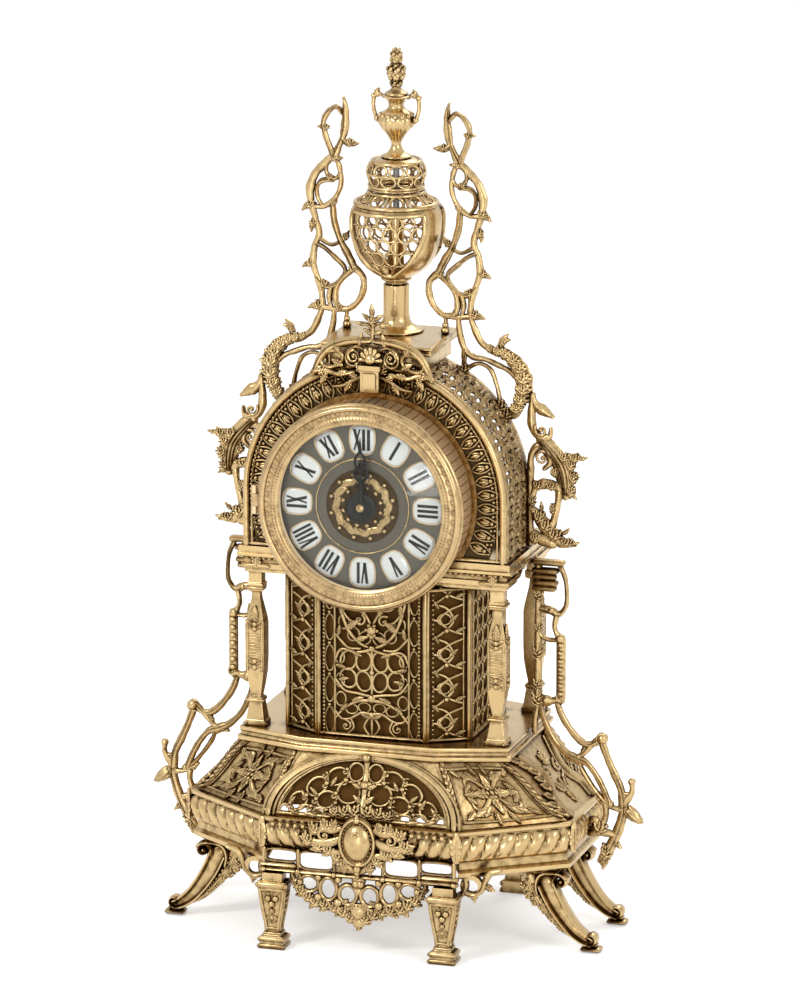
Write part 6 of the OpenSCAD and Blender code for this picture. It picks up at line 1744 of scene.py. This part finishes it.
def hour_place(k):
    """Place function of the plaque of hour k: u across it, v outwards."""
    c, s = cos(radians(k * 30)), sin(radians(k * 30))
    return lambda u, v, h: (u * c + (PLAQUE_R + v) * s, DIAL_FACE - h,
        DIAL_Z + (PLAQUE_R + v) * c - u * s)


def plaques():
    """Enamel plaques, with their brass edges and the sloped ring at the dial's edge."""
    c = Cast("hour plaques")
    g = Cast("brass edges of the plaques")
    mirror = [(-u, v) for u, v in PLAQUE]
    outline = [mirror[1], mirror[0]] + PLAQUE + mirror[:1:-1]
    for k in range(12):
        c.place = g.place = hour_place(k)
        c.rings([[c.place(u * share, v * share, h) for u, v in outline] for share,
            h in ((1.0, 0.0), (1.0, 0.35), (0.95, 0.75), (0.86, 0.95), (0.6, 1.15), (0.3, 1.2),
            (0.02, 1.22))])
        pts = [(u * 1.04, v * 1.04, 0.8) for u, v in outline]
        g.stroke(pts + [pts[0]], closed=True, k=3, sides=6, base=0.25)
    c.make(["enamel"], "case", ["hour_plaques"], angle=60)
    g.turned([(54.2, 0.02), (59.5, 0.02), (59.5, 2.2), (58, 2.0), (55.0, 0.6)], DIAL_FACE, 120)
    g.make(["drum"], "case")


def numerals():
    n = Cast("black numerals")
    half = 6.7
    for k, text in enumerate(("XII", "I", "II", "III", "IV", "V", "VI", "VII", "VIII", "IX", "X",
            "XI")):
        place = hour_place(k)
        total = sum(LETTER_W[ch] for ch in text)
        squeeze = min(1.0, 12.8 / total)
        x = -total / 2
        for ch in text:
            mid = (x + LETTER_W[ch] / 2) * squeeze
            x += LETTER_W[ch]
            for (x0, z0), (x1, z1), w in BARS[ch]:
                w *= max(0.72, squeeze)
                corners = [(mid + px * squeeze + d, pz * half) for px, pz, d in
                           ((x0, z0, -w / 2), (x0, z0, w / 2), (x1, z1, w / 2), (x1, z1, -w / 2))]
                n.add([place(u, v, h) for h in (0.9, 1.42) for u, v in corners],
                    [(0, 1, 2, 3), (7, 6, 5, 4), (0, 4, 5, 1), (1, 5, 6, 2), (2, 6, 7, 3),
                    (3, 7, 4, 0)])
    n.make(["ink"], "case", smooth=False)


def dial_middle():
    """Plain brass ring, and the wreath of leaves and beads in it."""
    m = Cast("relief in the middle of the dial", lambda u, v, h: (u, DIAL_FACE - h, DIAL_Z + v))
    m.turned([(8.7, 0.02), (23.8, 0.02), (23.8, 0.5), (23.2, 0.9), (22.4, 0.5), (16, 0.6), (11, 0.5),
        (8.7, 0.8)], DIAL_FACE, 96)
    m.m = [1] * len(m.m)
    m.eye(0, 0, 30.4, 30.4, 1.0, n=72, base=0.3)
    for k in range(12):
        a = k * 30 + 15
        u, v = cos(radians(a)), sin(radians(a))
        m.leaf(15.4 * u, 15.4 * v, a + 50, 8.6, 5.4, curl=70, lobes=1, thick=2.2, base=0.8)
        m.leaf(18 * u, 18 * v, a - 80, 7.4, 4.6, curl=-50, lobes=1, thick=2.0, base=0.8)
        m.bead(20.8 * u, 20.8 * v, 1.7, base=0.8)
        m.bead(12.6 * u, 12.6 * v, 1.7, base=0.8)
    m.make(["bezel", "inside"], "case", ["dial_centre"])


def hands():
    hour_y = low_high("hour_hand")[0][1]
    minute_y = low_high("minute_hand")[0][1]
    c = Cast("hour hand", lambda u, v, h: (u, hour_y + 0.25 - h, DIAL_Z + v))
    c.turned([(2.55, -0.2), (9.6, -0.2), (9.6, 0.15), (8.6, 0.5), (7.4, 0.3), (2.55, 0.3)],
        hour_y + 0.25, 40)
    c.strokes([[(0, 8, 4), (0, 14, 2.6), (0, 17, 3)], [(0, 26, 3.6), (0, 28.6, 2.2), (0, 31, 0.5)]],
        thick=0.8)
    for s in (-1, 1):
        c.strokes([[(0, 16.5, 2), (3.2, 19, 2.0), (4.2, 22.4, 2.0), (2.2, 25.6, 2), (0, 26.4, 2)],
                   [(1.4, 12, 1.4), (3.6, 13.4, 1.4), (3.0, 15.8, 1)]], s, thick=0.8)
    c.make(["hand"], "hour_train", ["hour_hand"])
    m = Cast("minute hand", lambda u, v, h: (u, minute_y + 0.25 - h, DIAL_Z + v))
    m.turned([(1.6, -0.2), (4.4, -0.2), (4.4, 0.2), (3.6, 0.4), (1.6, 0.3)], minute_y + 0.25, 32)
    m.strokes([[(0, 3, 3), (0, 12, 2.4), (0, 22, 2), (0, 25, 2.6)], [(0, 35.6, 2.8), (0, 40, 1.8),
        (0, 45.4, 0.4)], [(0, -3, 2.6), (0, -8, 2.2)]], thick=0.7)
    for s in (-1, 1):
        m.strokes([[(0, 24.6, 1.8), (2.8, 27, 1.6), (3.4, 30.6, 1.6), (2, 34, 1.6), (0, 36, 1.8)]], s,
            thick=0.7)
    m.make(["hand"], "minute_train", ["minute_hand"])


# ---- operators ----

class ClockStep:
    """What the clock's operators share."""
    bl_options = {"REGISTER", "UNDO"}


class CLOCK_OT_feet(ClockStep, bpy.types.Operator):
    """Curled feet, and the relief on the straight feet"""
    bl_idname = "clock.feet"
    bl_label = "Feet"

    def execute(self, context):
        scroll_feet()
        foot_relief()
        soften("bracket_feet", "smooth", 0.7)
        coat_node("foot_screws", "steel")
        return {"FINISHED"}


class CLOCK_OT_base(ClockStep, bpy.types.Operator):
    """Gadrooned rim, cartouches, plinth with its relief and grilles, and the aprons"""
    bl_idname = "clock.base"
    bl_label = "Base"

    def execute(self, context):
        gadroon_rim()
        plinth_shell()
        for side in (-1, 1):
            cartouche(side)
            lunette(side)
            apron(side)
        soften("base_frame", "smooth", 0.7)
        soften("plinth_deck", "smooth", 0.8)
        return {"FINISHED"}


class CLOCK_OT_lantern(ClockStep, bpy.types.Operator):
    """Grilles of the case, its liner, and the columns"""
    bl_idname = "clock.lantern"
    bl_label = "Lantern case"

    def execute(self, context):
        for side in (-1, 1):
            case_bay(side)
            case_side(side)
        coat_node("case_liner", "liner")
        soften("columns", "smooth", 0.5)
        column_relief()
        return {"FINISHED"}


class CLOCK_OT_scrolls(ClockStep, bpy.types.Operator):
    """Side brackets, crown brackets and leafy side ornaments"""
    bl_idname = "clock.scrolls"
    bl_label = "Side castings"

    def execute(self, context):
        for side in (-1, 1):
            side_bracket(side)
            crown_bracket(side)
            acroterion(side)
        return {"FINISHED"}


class CLOCK_OT_head(ClockStep, bpy.types.Operator):
    """Arched head, crest, cornice and roof cap"""
    bl_idname = "clock.head"
    bl_label = "Head"

    def execute(self, context):
        arch_front()
        arch_vault()
        crest()
        cornice_relief()
        roof_relief()
        soften("entablature", "smooth", 0.6)
        soften("roof_cap", "smooth", 0.8)
        soften("arch_back", "smooth", 0.8)
        return {"FINISHED"}


class CLOCK_OT_urn(ClockStep, bpy.types.Operator):
    """Stem, pierced urn and lid, vase and flower"""
    bl_idname = "clock.urn"
    bl_label = "Urn"

    def execute(self, context):
        urn()
        urn_lid()
        vase()
        flower()
        soften("stem", "smooth", 0.4)
        coat_node("tie_rod", "steel")
        coat_node("tie_nut", "steel")
        return {"FINISHED"}


class CLOCK_OT_clock(ClockStep, bpy.types.Operator):
    """Drum, bezel, glass, dial and hands"""
    bl_idname = "clock.clock"
    bl_label = "Clock"

    def execute(self, context):
        soften("drum", "drum", 0.3)
        drum_ridges()
        bezel()
        coat_node("glass", "glass")
        NODES["glass"].data.shade_smooth()
        coat_node("hinge_pin", "steel")
        coat_node("dial", "dial")
        plaques()
        numerals()
        dial_middle()
        hands()
        soften("hand_nut", "bezel", 0.2)
        soften("fixing_nut", "bezel", 0.3)
        return {"FINISHED"}


class CLOCK_OT_movement(ClockStep, bpy.types.Operator):
    """Finishes of the battery movement"""
    bl_idname = "clock.movement"
    bl_label = "Movement"

    def execute(self, context):
        for name, key in (("movement_case", "black_plastic"), ("movement_lid", "black_plastic"),
                ("setting_knob", "black_plastic"), ("motion_wheel", "cream_plastic"),
                ("hour_wheel", "cream_plastic"), ("minute_arbor", "cream_plastic"),
                ("circuit_board", "board"), ("coil", "copper"), ("rotor", "magnet"),
                ("battery", "sleeve")):
            coat_node(name, key)
        return {"FINISHED"}


class CLOCK_OT_stage(ClockStep, bpy.types.Operator):
    """Pale floor, white surround, soft lamps and the camera"""
    bl_idname = "clock.stage"
    bl_label = "Stage"

    def execute(self, context):
        floor()
        world()
        lamps()
        camera()
        return {"FINISHED"}


def floor():
    mesh = bpy.data.meshes.new("floor")
    s = 12.0
    mesh.from_pydata([(-s, -s, -0.0002), (s, -s, -0.0002), (s, s, -0.0002), (-s, s, -0.0002)], [],
        [(0, 1, 2, 3)])
    obj = bpy.data.objects.new("floor", mesh)
    link(obj)
    m, t = new_material("Matt white paper")
    path = node(t, "LightPath")
    diffuse = node(t, "BsdfDiffuse", {"Color": (0.94, 0.94, 0.94, 1)})
    glow = node(t, "Emission", {"Color": (1, 1, 1, 1), "Strength": 0.45})
    seen = node(t, "Math", {0: path.outputs["Is Camera Ray"], 1: path.outputs["Is Glossy Ray"]},
        operation="MAXIMUM")
    both = node(t, "AddShader", {0: diffuse.outputs[0], 1: glow.outputs[0]})
    mixed = node(t, "MixShader", {0: seen.outputs[0], 1: diffuse.outputs[0], 2: both.outputs[0]})
    node(t, "OutputMaterial", {"Surface": mixed.outputs[0]})
    mesh.materials.append(m)


def world():
    w = bpy.data.worlds.new("white surround")
    w.use_nodes = True
    bpy.context.scene.world = w
    t = w.node_tree
    t.nodes.clear()
    path = node(t, "LightPath")
    sharp = node(t, "Math", {0: path.outputs["Is Camera Ray"], 1: path.outputs["Is Transmission Ray"]},
        operation="MAXIMUM")
    seen = node(t, "Math", {0: sharp.outputs[0], 1: path.outputs["Is Glossy Ray"]}, operation="MAXIMUM")
    strength = node(t, "MapRange", {"Value": seen.outputs[0], "To Min": 0.62, "To Max": 1.0})
    back = node(t, "Background", {"Color": (1, 1, 1, 1), "Strength": strength.outputs[0]})
    node(t, "OutputWorld", {"Surface": back.outputs[0]})


def lamps():
    for name, at, size, power in (("key softbox", (-0.9, -1.6, 1.5), 0.5, 16),
            ("fill softbox", (1.5, -0.9, 0.9), 0.7, 8), ("rear softbox", (0.3, 1.4, 1.6), 0.9, 8),
            ("low strip", (0.1, -1.8, 0.15), 0.25, 2.5)):
        data = bpy.data.lights.new(name, "AREA")
        data.size = size
        data.energy = power
        obj = bpy.data.objects.new(name, data)
        obj.location = at
        aim = Vector((0, 0, 0.28)) - Vector(at)
        obj.rotation_euler = aim.to_track_quat("-Z", "Y").to_euler()
        link(obj)


def camera():
    az, el, distance = radians(17.12), radians(14.09), 4.777
    target = Vector((0, 0, 0.285))
    data = bpy.data.cameras.new("camera")
    data.sensor_fit = "HORIZONTAL"
    data.sensor_width = 36.0
    data.lens = sizes().lens
    data.clip_end = 50
    width, height = 800.0, 1003.0
    data.shift_x = (width / 2 - 396.3) / width
    data.shift_y = (489.6 - height / 2) / width
    obj = bpy.data.objects.new("camera", data)
    obj.location = target + distance * Vector((sin(az) * cos(el), -cos(az) * cos(el), sin(el)))
    obj.rotation_euler = (target - obj.location).to_track_quat("-Z", "Y").to_euler()
    link(obj)
    bpy.context.scene.camera = obj
    bpy.context.scene.view_settings.view_transform = "Standard"


STEPS = (CLOCK_OT_stage, CLOCK_OT_feet, CLOCK_OT_base, CLOCK_OT_lantern, CLOCK_OT_scrolls,
    CLOCK_OT_head, CLOCK_OT_urn, CLOCK_OT_clock, CLOCK_OT_movement)


class CLOCK_PT_panel(bpy.types.Panel):
    """Lists the clock's steps, sizes and colours"""
    bl_label = "Mantel clock"
    bl_idname = "CLOCK_PT_panel"
    bl_space_type = "VIEW_3D"
    bl_region_type = "UI"
    bl_category = "Clock"

    def draw(self, context):
        for step in STEPS:
            self.layout.operator(step.bl_idname)
        for group in (context.scene.clock_sizes, context.scene.clock_colours):
            for key in group.__annotations__:
                self.layout.prop(group, key)


CLASSES = (ClockColours, ClockSizes) + STEPS + (CLOCK_PT_panel,)


def register():
    for cls in CLASSES:
        bpy.utils.register_class(cls)
    bpy.types.Scene.clock_colours = PointerProperty(type=ClockColours)
    bpy.types.Scene.clock_sizes = PointerProperty(type=ClockSizes)


def unregister():
    del bpy.types.Scene.clock_colours
    del bpy.types.Scene.clock_sizes
    for cls in reversed(CLASSES):
        bpy.utils.unregister_class(cls)


def main():
    register()
    for step in STEPS:
        getattr(bpy.ops.clock, step.bl_idname.split(".")[1])()


if __name__ == "__main__":
    main()
